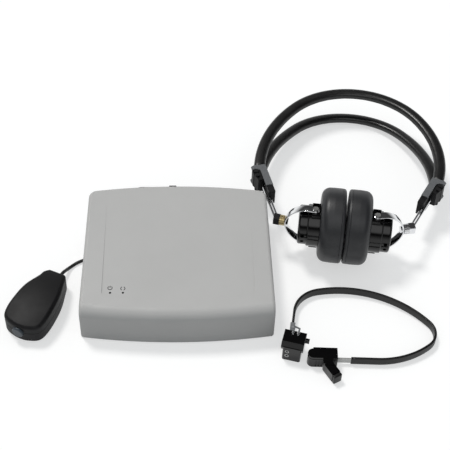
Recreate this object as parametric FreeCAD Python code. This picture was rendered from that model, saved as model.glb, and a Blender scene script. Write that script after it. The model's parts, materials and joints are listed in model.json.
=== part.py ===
"""Desktop audiometer set: case, response switch, double-band headset and bone-conduction headband.

Millimetres, +Z up. The table top is z = 0, and the origin is the plan centre of the whole set.
Each accessory is built in a frame of its own and then placed beside the case.
"""
import FreeCAD, Part
import math
import os

V = FreeCAD.Vector
Z_AXIS = V(0, 0, 1)
X_AXIS = V(1, 0, 0)
Y_AXIS = V(0, 1, 0)

# ---------------------------------------------------------------- driving dimensions

SET_CENTRE = (62.0, 56.0)          # plan centre of the set, measured from the case's centre

# Case
CASE_WIDTH = 190.0                 # between the side walls, at mid depth
CASE_ENDS = (-80.0, 82.0)          # front and rear ends of the side walls
CASE_TAPER = 0.0111                # each side wall narrows this much per mm towards the rear
REAR_BULGE = 7.5                   # rise of the curved rear wall
FRONT_BULGE = 7.3                  # rise of the curved front wall
CASE_TOP = 42.0                    # height of the top face
SKIRT_Z = 1.2                      # lower edge of the cover at its corners and front
FRONT_BEND = 11.0                  # radius that turns the top down into the front
REAR_CORNER = 9.0                  # plan radius of the two rear corners
EDGE_ROUND = 3.5                   # radius of the top edges and of the front corners
WALL = 2.5                         # cover wall
PANEL_LEFT, PANEL_RIGHT = -74.5, 76.2    # sides of the sunk panel in the top
PANEL_FRONT, PANEL_REAR = -65.2, 72.0    # front edge of the panel, and where it runs out
PANEL_SINK = 0.9                   # depth of the panel at its front edge
PANEL_CORNER = 6.0                 # plan radius of its front corners
TRAY_Z = 7.4                       # underside of the base tray: the height of the feet
TRAY_T = 2.5                       # thickness of the base tray
FIT = 0.2                          # gap all round between the tray and the cover
ARCH_SIDE = (-46.0, 52.0)          # stretch of each side wall that is raised for leads and fingers
ARCH_REAR = 71.0                   # half width of the raised stretch of the rear wall
FOOT_R = 8.0
FOOT_AT = (66.0, 57.0)             # feet, from the case's centre lines
BOSS_AT = (81.0, 62.0)             # cover screws
BOSS_R = 4.0
SCREW_R = 1.25                     # screw shanks
SCREW_HEAD_R = 2.8
SCREW_HEAD_H = 1.5
SCREW_LONG, SCREW_SHORT = 12.0, 8.5      # lengths of the screws, heads included
BOARD = (144.0, 138.0, 1.6)        # main board: width, depth, thickness
BOARD_MID_Y = 7.0
BOARD_GAP = 5.5                    # height of the posts that carry the board
POST_AT = (66.0, 50.0)             # board screws, from the board's centre
REAR_PANEL_Y = 77.5                # inner face of the connector panel
REAR_PANEL_T = 2.0
WINDOW_HALF = 62.0                 # half width of the opening in the rear wall
WINDOW_Z = (13.0, 35.0)
LIP_T = 2.0                        # wall of the tunnel between that opening and the panel
SOCKET_X = (-26.0, -2.0, 22.0, 50.0)     # left phone, right phone, bone conductor, response switch
SOCKET_Z = 24.0
JACK_BORE_R = 3.2                  # for a 6.35 mm plug
JACK_BUSH_R = 4.75
JACK_BODY = (14.0, 18.0)           # width and depth of a socket body
JACK_NUT = (6.6, 2.2)              # radius over its corners, thickness
USB_X = -50.0
USB_BODY = (12.0, 16.0, 10.8)
USB_MOUTH = (8.4, 7.6)
LIGHT_X = (-66.0, -53.4)           # two indicators in the panel
LIGHT_Y = -56.2
LIGHT_R = 1.2

# Response switch
SWITCH_AT = (-122.6, -11.3)        # middle of its rear end
SWITCH_HEADING = 244.5             # direction of its button end
SWITCH_LENGTH = 78.0
SWITCH_WIDTH = 44.5
SWITCH_REAR = 18.0                 # width of the flat rear end
SWITCH_TALL = 26.5                 # height at the crown
CROWN_R = 140.0                    # radius of the domed top
CROWN_FORWARD = 42.0               # distance of the highest point from the rear end
SWITCH_EDGE = 4.0                  # rounding of the top edge
SWITCH_UNDER = 2.5                 # rounding of the lower edge
SHELL_WALL = 2.2
SEAM_Z = 13.0
SEAM_GAP = (0.5, 0.7)              # height and depth of the groove at the seam
BUTTON_R = 6.0
BUTTON_PROUD = 2.4
BUTTON_GAP = 0.25                  # radial gap between the button and its hole
BUTTON_FLANGE = (1.3, 1.5)         # how far the flange stands out, and its thickness
GLAND_R = 3.0
GLAND_Z = 8.0                      # height at which the cord leaves the switch
GLAND_LENGTH = 6.0
CORD_R = 1.8
HANK_RUN = 68.0                    # straight part of each turn
HANK_TURNS = (2, 3)                # turns side by side, and layers
HANK_FOLD = 5.0                    # width of the middle turn at the ends, in cord diameters
HANK_AT = (-6.0, 105.4)
PLUG_BODY_R = 5.0
PLUG_BODY = 21.0
PLUG_Y = 93.6                      # axis of the plug's body
PLUG_TAIL = 5.0                    # length of its tapered cord end
PLUG_TILT = 22.0                   # the cord end hangs down this much, in degrees
TIE_T = 0.5                        # thickness of the band round the hank

# Headset: x across, y from the ears to the top of the bands, z from the table side up
HEADSET_AT = (173.0, 31.5)         # below the point between the two cushions
HEADSET_YAW = -4.6
HEADSET_LIFT = 0.35                # keeps the lowest points of the headset just off the table
CUSHION_R = 39.25
CUSHION_T = 25.2
CUSHION_HALF_GAP = 0.95            # half the space between the cushions, on the axis
CUSHION_TOE = 1.0                  # each cushion turns away from the other towards the bands
CUSHION_BACK = 9.0                 # rounding of the rear edge
CUSHION_FACE = 3.5                 # rounding of the front edge
CUSHION_HOLE = 11.0
SEAT_DEPTH = 12.0                  # how deep the case sits in the cushion
EAR_CASE_R = 22.0
EAR_CASE_T = 12.8                  # length of the case behind the cushion
CASE_EDGE = 1.6
DRUM_DROP = 2.4                    # the drum sits this far from the cushion's axis, towards the pivots
CAP_R = 20.5
CAP_T = 9.0
SOCKET_SPLIT = 7.6                 # spacing of the two lead sockets in an earphone
LEAD_HOLE_R = 1.9
PIVOT_X = 31.6                     # pivot screws, from the plane between the cushions
PIVOT_R = 1.6
EAR_BLOCK = (8.4, 15.0)            # pivot blocks on the case: along the axis, and across
FORK_Z = 25.5                      # mid thickness of the fork's two arms
FORK_T = 1.4
FORK_W = 8.4
FORK_TAB = 9.0                     # from the pivot to the bend
FORK_KNEE = (22.5, 17.6)           # second bend: from the pivot, and half height
FORK_REACH = 30.0                  # from the pivot to the flat of the fork's bow
FORK_BOW = 6.0                     # half height of that flat
PIVOT_DROP = 4.2                   # the pivots sit this far from the cushions' axis, away from the bands
EAR_ROLL = 6.0                     # forks and earphones are swivelled this much at rest
EAR_TURN = 3.7                     # the pair of earphones is turned this much, clockwise from above
FORK_LEAN = {"left": 11.0, "right": 13.2}     # forks are tilted this much towards the bands
STEM_R = 2.0
NUT_R, NUT_T = 5.5, 5.4
SWIVEL_BLOCK = (6.4, 9.0, 9.0)
RUN_GAP = 0.05                     # radial clearance of pins and rods in their holes
SIDE_GAP = 0.15                    # gap between faces that turn on each other
ROD_R = 1.15
ROD_PITCH = 3.0
ROD_START = -1.8                   # first rod's foot, from the swivel's centre
ROD_LEAN = {"left": 16.0, "right": 25.6}      # rods lean outwards
ROD_SHOWN = {"left": 33.5, "right": 33.0}     # from the swivel's centre to the slide block
ROD_TRAVEL = 12.0
SLIDE_LENGTH = 17.0
PLATE_FROM, PLATE_TO = 11.0, 45.0  # end plate, along the rods from the slide block's lower end
PLATE_IN, PLATE_OUT = 5.5, 2.1     # its edges, inwards and outwards of the first rod
PLATE_T = 1.2
HOOK_FROM = 39.0
HOOK_OUT = 11.0
COVER_FROM, COVER_OUT = 22.0, 10.8
CLAMP_HALF = 9.6                   # half height of the clamp
RIVET_AT = ((28.5, 7.2), (35.0, 7.2))
RIVET_R, RIVET_HEAD_R, RIVET_HEAD_T = 1.5, 2.6, 0.9
SLEEVE = (12.6, 8.6)               # section of a padded band: radial, and height
SLEEVE_ROUND = 4.1
SPRING_STRIP = (0.8, 5.2)
BAND_Z = 5.2                       # the two bands' centre lines at the clamps
BAND_PEAK_Z = 16.0                 # and at the top of the head
BAND_CLAMP_Y = 76.0                # line of the clamps' tops
TONGUE = 8.0                       # bare spring inside a clamp
# Each band: top radius, peak, lean, and for each side: arc radius, degrees of top arc, leg's angle
BANDS = {
    "upper": (88.0, (14.9, 213.6), -0.7, {"left": (155.0, 49.6, 91.0), "right": (122.0, 55.6, 97.5)}),
    "lower": (77.0, (6.9, 208.3), 2.7, {"left": (180.0, 47.3, 86.5), "right": (144.0, 53.9, 97.5)}),
}

# Bone-conduction headband: its strip stands on edge on the table
BONE_START = (136.2, -111.7)
BONE_HEADING = -2.7
BONE_PATH = ((0, 58.7), (81.5, 40.7), (19.9, 89.9), (112.4, 62.7), (31.5, 70.3), (0, 19.4))
BONE_STRIP = (0.8, 7.2)
BONE_SLEEVE = (2.6, 9.2)
BONE_BARE = (33.0, 4.0)            # bare steel at the rest block's end, and at the vibrator's end
STRIP_Z = 1.6                      # lower edge of the steel strip
VIBRATOR_AT = (113.1, -100.4)      # plan centre of the vibrator
VIBRATOR_TURN = -16.0
VIBRATOR = (18.3, 19.0, 19.4)
VIBRATOR_ROUND = 2.0
HOLDER_TOP = 24.4
HOLDER_WALL = 1.8
HOLDER_DEPTH = 15.0
HOLDER_DOWN = 10.0                 # the holder's cheeks come down to this height
LUG_Z = 18.0                       # height of the round lug on one cheek
BAIL_R = 0.9
BAIL_GAP = 5.2                     # distance between the two wires of the bail
PIN_R = (1.3, 2.0)
PIN_PITCH = 6.4
REST_BLOCK = (29.0, 11.0, 12.4)
REST_TOP_T = 2.4
REST_SLIT = 0.8
REST_FROM = 126.3                  # left end of the rest block
ARM_PIN_AT = (19.5, 2.0)           # arm's pivot, from the block's left end and its front face
ARM_TURN = -61.0                   # direction of the arm
ARM = (18.5, 9.2, 10.6)            # length, width, height
ARM_PIN_R = 1.8
PAD_T = 4.0

os.makedirs("parts", exist_ok=True)
BUILT = []


# ---------------------------------------------------------------- small helpers

def box(x0, x1, y0, y1, z0, z1):
    """Block between two corners."""
    return Part.makeBox(x1 - x0, y1 - y0, z1 - z0, V(x0, y0, z0))


def rod(r, start, end):
    """Round bar between two points."""
    way = end - start
    return Part.makeCylinder(r, way.Length, start, way)


def ring(r_out, r_in, start, end):
    """Tube between two points."""
    return rod(r_out, start, end).cut(rod(r_in, start, end))


def prism(points, z0, z1):
    """Polygon in plan, drawn up from z0 to z1."""
    corners = [V(x, y, z0) for x, y in points]
    face = Part.Face(Part.makePolygon(corners + corners[:1]))
    return face.extrude(V(0, 0, z1 - z0))


def together(shapes):
    """One group of separate solids."""
    return Part.makeCompound([s for shape in shapes for s in shape.Solids])


def turned(shape, angle, centre=V(0, 0, 0), axis=Z_AXIS):
    """Copy of a shape, turned about an axis through a point."""
    copy = shape.copy()
    copy.rotate(centre, axis, angle)
    return copy


def moved(shape, x=0.0, y=0.0, z=0.0):
    """Copy of a shape, shifted."""
    copy = shape.copy()
    copy.translate(V(x, y, z))
    return copy


def save(name, shape, place=None):
    """Places a node's shape in the set and writes it to parts/."""
    solids = []
    for solid in shape.Solids:
        part = solid.copy()
        if place is not None:
            part.Placement = place.multiply(part.Placement)
        part.translate(V(-SET_CENTRE[0], -SET_CENTRE[1], 0))
        solids.append(part)
    whole = solids[0] if len(solids) == 1 else Part.makeCompound(solids)
    whole.exportStep("parts/%s.step" % name)
    BUILT.append((name, len(solids), whole.isValid(), sum(s.Volume for s in solids)))


# ---------------------------------------------------------------- case

class CaseOutline:
    """Plan outline of the case, set in by a wall: two tapered sides, a curved front and rear."""

    def __init__(self, inset):
        half = CASE_WIDTH / 2
        front, rear = CASE_ENDS
        rear_half = half - CASE_TAPER * rear
        front_half = half - CASE_TAPER * front
        self.half = half - inset
        rear_r = (rear_half ** 2 + REAR_BULGE ** 2) / (2 * REAR_BULGE)
        front_r = (front_half ** 2 + FRONT_BULGE ** 2) / (2 * FRONT_BULGE)
        self.rear_mid = V(0, rear + REAR_BULGE - rear_r, 0)
        self.front_mid = V(0, front - FRONT_BULGE + front_r, 0)
        self.rear_r = rear_r - inset
        self.front_r = front_r - inset

    def corner(self, centre, radius, towards):
        """Where a side wall's line meets an end wall's arc."""
        y = CASE_ENDS[1] if towards > 0 else CASE_ENDS[0]
        for _ in range(8):
            x = self.half - CASE_TAPER * y
            y = centre.y + towards * math.sqrt(radius ** 2 - x ** 2)
        return self.half - CASE_TAPER * y, y

    def face(self, z):
        """The outline as a face at height z."""
        rear_x, rear_y = self.corner(self.rear_mid, self.rear_r, 1)
        front_x, front_y = self.corner(self.front_mid, self.front_r, -1)
        rear = V(0, self.rear_mid.y + self.rear_r, z)
        front = V(0, self.front_mid.y - self.front_r, z)
        a, b = V(front_x, front_y, z), V(rear_x, rear_y, z)
        c, d = V(-rear_x, rear_y, z), V(-front_x, front_y, z)
        edges = [Part.LineSegment(a, b).toShape(), Part.Arc(b, rear, c).toShape(),
                 Part.LineSegment(c, d).toShape(), Part.Arc(d, front, a).toShape()]
        return Part.Face(Part.Wire(edges))


def case_block(inset, z0, z1, bend, corner, edge):
    """Solid block of the case's shape: curved front bend, round rear corners, round top edges."""
    outline = CaseOutline(inset)
    block = outline.face(z0).extrude(V(0, 0, z1 - z0))
    # The front bend is cut by a corner profile carried round the front wall's centre.
    far = outline.front_r
    p = [V(0, outline.front_mid.y - far + dy, z1 + dz)
         for dy, dz in ((bend, 0.0), (bend - bend * math.sqrt(0.5), bend * math.sqrt(0.5) - bend), (0.0, -bend),
                        (-3.0, -bend), (-3.0, 3.0), (bend, 3.0))]
    profile = Part.Wire([Part.Arc(p[0], p[1], p[2]).toShape(), Part.LineSegment(p[2], p[3]).toShape(),
                         Part.LineSegment(p[3], p[4]).toShape(), Part.LineSegment(p[4], p[5]).toShape(),
                         Part.LineSegment(p[5], p[0]).toShape()])
    cutter = Part.Face(profile).revolve(outline.front_mid, Z_AXIS, 60)
    cutter.rotate(outline.front_mid, Z_AXIS, -30)
    block = block.cut(cutter)
    upright = [e for e in block.Edges if is_upright(e) and e.CenterOfMass.y > 0]
    block = block.makeFillet(corner, upright)
    rim = [e for e in block.Edges if on_rim(e, z0, z1, outline)]
    return block.makeFillet(edge, rim)


def is_upright(edge):
    """True for a straight vertical edge."""
    ends = [v.Point for v in edge.Vertexes]
    return len(ends) == 2 and (ends[0] - ends[1]).cross(Z_AXIS).Length < 1e-6


def on_rim(edge, z0, z1, outline):
    """True for the chain that runs up the front corners, over the bend and round the top."""
    if all(abs(v.Point.z - z0) < 1e-6 for v in edge.Vertexes):
        return False
    mid = edge.CenterOfMass
    sides = abs(abs(mid.x) - outline.half) < 3.0
    if is_upright(edge):
        return sides and mid.y < 0
    if all(abs(v.Point.z - z1) < 1e-6 for v in edge.Vertexes):
        return sides or mid.y > 0
    return sides and mid.y < 0


def tray_level():
    """Top face of the base tray, where the posts and the rear panel stand."""
    return TRAY_Z + TRAY_T


def board_top():
    """Upper face of the main board."""
    return tray_level() + BOARD_GAP + BOARD[2]


def four(at, mid_y=0.0):
    """Four places, mirrored about the case's centre lines."""
    return [V(sx * at[0], mid_y + sy * at[1], 0) for sx in (-1, 1) for sy in (-1, 1)]


def panel_floor():
    """Height of the sunk panel where the indicators are."""
    share = (PANEL_REAR - LIGHT_Y) / (PANEL_REAR - PANEL_FRONT)
    return CASE_TOP - PANEL_SINK * share


def top_cover():
    """Moulded cover: sunk panel, screw bosses, rear opening with its tunnel, raised lower edges."""
    cover = case_block(0.0, SKIRT_Z, CASE_TOP, FRONT_BEND, REAR_CORNER, EDGE_ROUND)
    hollow = case_block(WALL, SKIRT_Z - 1.0, CASE_TOP - WALL, FRONT_BEND - WALL, REAR_CORNER - WALL,
                        EDGE_ROUND - WALL / 2)
    cover = cover.cut(hollow)
    # Panel: a wedge, deepest at its curved front edge.
    outline = CaseOutline(0.0)
    sink = box(PANEL_LEFT, PANEL_RIGHT, outline.front_mid.y - outline.front_r, PANEL_REAR,
               CASE_TOP - 3.0, CASE_TOP + 3.0)
    front_edge = Part.makeCylinder(outline.front_mid.y - PANEL_FRONT, 20.0,
                                   V(0, outline.front_mid.y, CASE_TOP - 10.0))
    sink = sink.common(front_edge)
    corners = [e for e in sink.Edges if is_upright(e) and e.CenterOfMass.y < 0]
    sink = sink.makeFillet(PANEL_CORNER, corners)
    run = PANEL_REAR - PANEL_FRONT
    slope = math.degrees(math.atan(PANEL_SINK / run))
    above = box(PANEL_LEFT - 5, PANEL_RIGHT + 5, -2 * run, 0.0, 0.0, 10.0)
    above = turned(above, slope, axis=X_AXIS)
    cover = cover.cut(sink.common(moved(above, 0, PANEL_REAR, CASE_TOP)))
    # Opening in the rear wall, and the tunnel to the connector panel.
    panel_face = REAR_PANEL_Y + REAR_PANEL_T
    z0, z1 = WINDOW_Z
    lip = box(-WINDOW_HALF - LIP_T, WINDOW_HALF + LIP_T, panel_face, CASE_ENDS[1] + REAR_BULGE,
              z0 - LIP_T, z1 + LIP_T)
    solid = case_block(0.0, SKIRT_Z, CASE_TOP, FRONT_BEND, REAR_CORNER, EDGE_ROUND)
    cover = cover.fuse(lip.common(solid))
    cover = cover.cut(box(-WINDOW_HALF, WINDOW_HALF, REAR_PANEL_Y, CASE_WIDTH, z0, z1))
    # Bosses, hanging from the top.
    for at in four(BOSS_AT):
        boss = Part.makeCylinder(BOSS_R, CASE_TOP - WALL / 2 - tray_level(), at + V(0, 0, tray_level()))
        cover = cover.fuse(boss)
    for at in four(BOSS_AT):
        depth = SCREW_LONG - SCREW_HEAD_H
        cover = cover.cut(Part.makeCylinder(SCREW_R, depth, at + V(0, 0, TRAY_Z + SCREW_HEAD_H)))
    # Raised lower edges on both sides and at the rear.
    wide = CASE_WIDTH
    cover = cover.cut(box(-wide, wide, ARCH_SIDE[0], ARCH_SIDE[1], 0.0, TRAY_Z))
    cover = cover.cut(box(-ARCH_REAR, ARCH_REAR, 0.0, wide, 0.0, TRAY_Z))
    for x in LIGHT_X:
        cover = cover.cut(Part.makeCylinder(LIGHT_R, CASE_TOP, V(x, LIGHT_Y, CASE_TOP / 2)))
    return cover.removeSplitter()


def screw(at, z_head, up, length=SCREW_LONG):
    """One screw: its head's outer face is at z_head, and its shank points up or down."""
    head = Part.makeCylinder(SCREW_HEAD_R, SCREW_HEAD_H, at + V(0, 0, z_head), V(0, 0, up))
    shank = Part.makeCylinder(SCREW_R, length, at + V(0, 0, z_head), V(0, 0, up))
    socket = Part.makeCylinder(SCREW_R * 0.7, SCREW_HEAD_H * 0.6, at + V(0, 0, z_head), V(0, 0, up))
    return head.fuse(shank).cut(socket)


def base_tray():
    """Base tray: counterbored for the cover's screws, with posts for the board."""
    inset = WALL + FIT
    tray = CaseOutline(inset).face(TRAY_Z).extrude(V(0, 0, TRAY_T))
    upright = [e for e in tray.Edges if is_upright(e) and e.CenterOfMass.y > 0]
    tray = tray.makeFillet(REAR_CORNER - WALL, upright)
    upright = [e for e in tray.Edges if is_upright(e) and e.CenterOfMass.y < 0]
    tray = tray.makeFillet(EDGE_ROUND - WALL / 2, upright)
    for at in four(POST_AT, BOARD_MID_Y):
        post = Part.makeCylinder(BOSS_R, BOARD_GAP + TRAY_T, at + V(0, 0, TRAY_Z))
        tray = tray.fuse(post)
    for at in four(POST_AT, BOARD_MID_Y):
        tray = tray.cut(Part.makeCylinder(SCREW_R, CASE_TOP, at))
    for at in four(BOSS_AT):
        tray = tray.cut(Part.makeCylinder(SCREW_R + FIT, CASE_TOP, at))
        tray = tray.cut(Part.makeCylinder(SCREW_HEAD_R + FIT, SCREW_HEAD_H, at + V(0, 0, TRAY_Z)))
    return tray


def rubber_feet():
    """Four round feet under the tray."""
    feet = []
    for at in four(FOOT_AT):
        foot = Part.makeCylinder(FOOT_R, TRAY_Z, at)
        lower = [e for e in foot.Edges if e.CenterOfMass.z < 0.01 and len(e.Vertexes) == 1]
        feet.append(foot.makeChamfer(0.8, lower))
    return together(feet)


def board_at():
    """Corner values of the main board in plan."""
    half_w, half_d = BOARD[0] / 2, BOARD[1] / 2
    return -half_w, half_w, BOARD_MID_Y - half_d, BOARD_MID_Y + half_d


def main_board():
    """Printed circuit board, with its screw holes."""
    x0, x1, y0, y1 = board_at()
    board = box(x0, x1, y0, y1, board_top() - BOARD[2], board_top())
    for at in four(POST_AT, BOARD_MID_Y):
        board = board.cut(Part.makeCylinder(SCREW_R, CASE_TOP, at))
    return board


def board_components():
    """Chips, capacitors, an isolating transformer and the two indicator LEDs."""
    z = board_top()
    chips = [(-30, -20, 14, 14, 1.8), (8, -24, 20, 20, 2.2), (40, -8, 12, 8, 1.6), (-4, 12, 16, 6, 1.6),
             (-40, 14, 10, 6, 1.6), (34, 22, 16, 14, 11.0)]
    group = [box(x - w / 2, x + w / 2, y - d / 2, y + d / 2, z, z + h) for x, y, w, d, h in chips]
    group += [Part.makeCylinder(4.0, 11.0, V(x, 34, z)) for x in (-50, -38, 6)]
    group += [Part.makeCylinder(1.5, 4.0, V(x, LIGHT_Y, z)) for x in LIGHT_X]
    return together(group)


def light_pipes():
    """Two clear rods that carry the LEDs' light to the panel."""
    under = CASE_TOP - WALL - PANEL_SINK
    pipes = []
    for x in LIGHT_X:
        pipe = Part.makeCylinder(LIGHT_R, panel_floor() - board_top() - 5.0, V(x, LIGHT_Y, board_top() + 5.0))
        flange = Part.makeCylinder(LIGHT_R + 1.3, 1.2, V(x, LIGHT_Y, under - 0.4))
        pipes.append(pipe.fuse(flange))
    return together(pipes)


def rear_panel():
    """Flat connector panel, standing on the tray behind the rear opening."""
    y0 = REAR_PANEL_Y
    reach = WINDOW_HALF + LIP_T
    panel = box(-reach, reach, y0, y0 + REAR_PANEL_T, tray_level(), WINDOW_Z[1] + LIP_T)
    for x in SOCKET_X:
        panel = panel.cut(rod(JACK_BUSH_R, V(x, y0 - 1, SOCKET_Z), V(x, y0 + 9, SOCKET_Z)))
    w, h = USB_MOUTH[0] + 1.6, USB_MOUTH[1] + 1.6
    mid = board_top() + USB_BODY[2] / 2
    return panel.cut(box(USB_X - w / 2, USB_X + w / 2, y0 - 1, y0 + 9, mid - h / 2, mid + h / 2))


def jack_sockets():
    """Four 6.35 mm sockets: a body on the board, and a threaded bush through the panel."""
    group = []
    for x in SOCKET_X:
        w, d = JACK_BODY
        body = box(x - w / 2, x + w / 2, REAR_PANEL_Y - d, REAR_PANEL_Y, board_top(),
                   2 * SOCKET_Z - board_top())
        bush_end = REAR_PANEL_Y + REAR_PANEL_T + JACK_NUT[1] + 0.6
        bush = rod(JACK_BUSH_R, V(x, REAR_PANEL_Y - 1, SOCKET_Z), V(x, bush_end, SOCKET_Z))
        bore = rod(JACK_BORE_R, V(x, bush_end - jack_depth(), SOCKET_Z), V(x, bush_end + 1, SOCKET_Z))
        group.append(body.fuse(bush).cut(bore))
    return together(group)


def jack_depth():
    """Depth of a socket's bore, from the mouth of its bush."""
    return REAR_PANEL_T + JACK_NUT[1] + 0.6 + JACK_BODY[1] - 2.0


def socket_nuts():
    """Hexagon nuts that hold the sockets to the panel."""
    y0 = REAR_PANEL_Y + REAR_PANEL_T
    nuts = []
    for x in SOCKET_X:
        points = [V(x + JACK_NUT[0] * math.cos(math.radians(a)), y0,
                    SOCKET_Z + JACK_NUT[0] * math.sin(math.radians(a))) for a in range(0, 420, 60)]
        nut = Part.Face(Part.makePolygon(points)).extrude(V(0, JACK_NUT[1], 0))
        nuts.append(nut.cut(rod(JACK_BUSH_R, V(x, y0 - 1, SOCKET_Z), V(x, y0 + 9, SOCKET_Z))))
    return together(nuts)


def usb_socket():
    """Square data socket on the board's rear edge."""
    w, d, h = USB_BODY
    z0 = board_top()
    y1 = REAR_PANEL_Y
    body = box(USB_X - w / 2, USB_X + w / 2, y1 - d, y1, z0, z0 + h)
    mw, mh = USB_MOUTH
    mid = z0 + h / 2
    nose = box(USB_X - mw / 2 - 0.8, USB_X + mw / 2 + 0.8, y1 - 1, y1 + REAR_PANEL_T, mid - mh / 2 - 0.8,
               mid + mh / 2 + 0.8)
    mouth = box(USB_X - mw / 2, USB_X + mw / 2, y1 - 9, y1 + 9, mid - mh / 2, mid + mh / 2)
    tongue = box(USB_X - mw / 4, USB_X + mw / 4, y1 - 9, y1 - 1, mid - mh / 5, mid + mh / 5)
    return body.fuse(nose).cut(mouth).fuse(tongue)


def case_screws():
    """Four screws up into the cover's bosses, and four down through the board."""
    group = [screw(at, TRAY_Z, 1) for at in four(BOSS_AT)]
    group += [screw(at, board_top() + SCREW_HEAD_H, -1, SCREW_SHORT) for at in four(POST_AT, BOARD_MID_Y)]
    return together(group)


def build_case():
    """All nodes of the case."""
    save("top_cover", top_cover())
    save("base_tray", base_tray())
    save("rubber_feet", rubber_feet())
    save("main_board", main_board())
    save("board_components", board_components())
    save("light_pipes", light_pipes())
    save("rear_panel", rear_panel())
    save("jack_sockets", jack_sockets())
    save("socket_nuts", socket_nuts())
    save("usb_socket", usb_socket())
    save("case_screws", case_screws())


# ---------------------------------------------------------------- response switch
# Frame: x from the rear end to the button, y across, z up.

def switch_face(inset, z):
    """Plan outline of the switch: flat rear end, full sides, blunt nose."""
    half = SWITCH_WIDTH / 2 - inset
    rear = SWITCH_REAR / 2 - inset
    x0, x1 = inset, SWITCH_LENGTH - inset
    run = x1 - x0
    # Shares of the length and of the half width, from the rear end to the nose.
    shape = ((0.0, None), (0.13, 0.62), (0.34, 0.85), (0.6, 0.98), (0.8, 0.985), (0.92, 0.84), (0.98, 0.45))
    side = [V(x0 + s * run, rear if w is None else w * half, z) for s, w in shape] + [V(x1, 0, z)]
    mirrored = [V(p.x, -p.y, z) for p in reversed(side)]
    one, other = Part.BSplineCurve(), Part.BSplineCurve()
    one.interpolate(Points=side, InitialTangent=V(1, 1, 0), FinalTangent=V(0, -1, 0))
    other.interpolate(Points=mirrored, InitialTangent=V(0, -1, 0), FinalTangent=V(-1, 1, 0))
    back = Part.LineSegment(mirrored[-1], side[0]).toShape()
    return Part.Face(Part.Wire([one.toShape(), other.toShape(), back]))


def switch_block(inset, top_round, under_round):
    """Pebble: the outline drawn up, domed on top and rounded at both rims."""
    z0 = inset
    block = switch_face(inset, z0).extrude(V(0, 0, SWITCH_TALL))
    dome = Part.makeSphere(CROWN_R - inset, V(CROWN_FORWARD, 0, SWITCH_TALL - CROWN_R), Y_AXIS)
    block = block.common(dome).Solids[0]
    upper = [e for e in block.Edges if e.BoundBox.ZMin > SEAM_Z]
    block = block.makeFillet(top_round, upper)
    lower = [e for e in block.Edges if e.BoundBox.ZMax < z0 + 0.1]
    return block.makeFillet(under_round, lower).Solids[0]


def switch_place():
    """Placement of the switch beside the case."""
    return FreeCAD.Placement(V(SWITCH_AT[0], SWITCH_AT[1], 0),
                             FreeCAD.Rotation(Z_AXIS, SWITCH_HEADING))


def button_axis(x0, x1, r):
    """Bar on the button's axis."""
    return rod(r, V(x0, 0, SEAM_Z), V(x1, 0, SEAM_Z))


def gland_hole(r):
    """Bar on the cord's axis through the rear wall."""
    return rod(r, V(-1.0, 0, GLAND_Z), V(SHELL_WALL + 1.0, 0, GLAND_Z))


def switch_shells():
    """Upper and lower shell, with the groove at the seam, the button's hole and two screw posts."""
    hollow = switch_block(SHELL_WALL, SWITCH_EDGE - SHELL_WALL, SWITCH_UNDER / 2)
    for at in shell_screw_at():
        hollow = hollow.cut(Part.makeCylinder(SCREW_R + 1.6, 3 * SWITCH_TALL, at - V(0, 0, SWITCH_TALL)))
    gap, depth = SEAM_GAP
    band = switch_face(0.0, SEAM_Z - gap / 2).extrude(V(0, 0, gap))
    band = band.cut(switch_face(depth, SEAM_Z - gap).extrude(V(0, 0, 2 * gap)))
    shell = switch_block(0.0, SWITCH_EDGE, SWITCH_UNDER).cut(hollow).cut(band)
    shell = shell.cut(button_axis(SWITCH_LENGTH - 12, SWITCH_LENGTH + 5, BUTTON_R + BUTTON_GAP))
    shell = shell.cut(gland_hole(GLAND_R))
    for at in shell_screw_at():
        shell = shell.cut(Part.makeCylinder(SCREW_R, SCREW_LONG, at))
        shell = shell.cut(Part.makeCylinder(SCREW_HEAD_R, SCREW_HEAD_H, at))
    reach = SWITCH_LENGTH + 10
    top = shell.common(box(-10, reach, -reach, reach, SEAM_Z, 2 * SWITCH_TALL))
    return top, shell.common(box(-10, reach, -reach, reach, -5, SEAM_Z))


def shell_screw_at():
    """Places of the two screws that close the switch."""
    return [V(16.0, 0, 0), V(CROWN_FORWARD, 16.0, 0), V(CROWN_FORWARD, -16.0, 0)]


def response_button():
    """Push button: a chamfered plunger with a flange that stops it inside the shell."""
    flange, flange_t = BUTTON_FLANGE
    tip = SWITCH_LENGTH + BUTTON_PROUD
    back = SWITCH_LENGTH - SHELL_WALL - 2.6
    plunger = button_axis(back - flange_t, tip, BUTTON_R)
    rim = [e for e in plunger.Edges if e.CenterOfMass.x > tip - 0.1 and len(e.Vertexes) == 1]
    plunger = plunger.makeChamfer(0.9, rim)
    plunger = plunger.fuse(button_axis(back - flange_t, back, BUTTON_R + flange))
    return plunger.cut(button_axis(back - flange_t - 1, back + 1.5, BUTTON_R - 1.2))


def micro_switch():
    """Small switch that the button presses, standing on a bracket in the lower shell."""
    front = SWITCH_LENGTH - SHELL_WALL - 2.6 - BUTTON_FLANGE[1] - 3.6
    body = box(front - 10, front, -6.5, 6.5, SEAM_Z - 5.0, SEAM_Z + 3.0)
    bracket = box(front - 12, front - 10, -8, 8, SHELL_WALL, SEAM_Z + 3.0)
    tip = button_axis(front, front + 1.2, 1.6)
    return body.fuse(bracket).fuse(tip)


def button_spring():
    """Return spring in front of the micro switch: a stack of turns at its length when pressed."""
    front = SWITCH_LENGTH - SHELL_WALL - 2.6 - BUTTON_FLANGE[1]
    wire, coil, turns = 0.35, 3.2, 5
    pitch = 0.85
    start = front - 3.6 + wire
    rings = [Part.makeTorus(coil, wire, V(start + i * pitch, 0, SEAM_Z), X_AXIS) for i in range(turns)]
    return together(rings)


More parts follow.
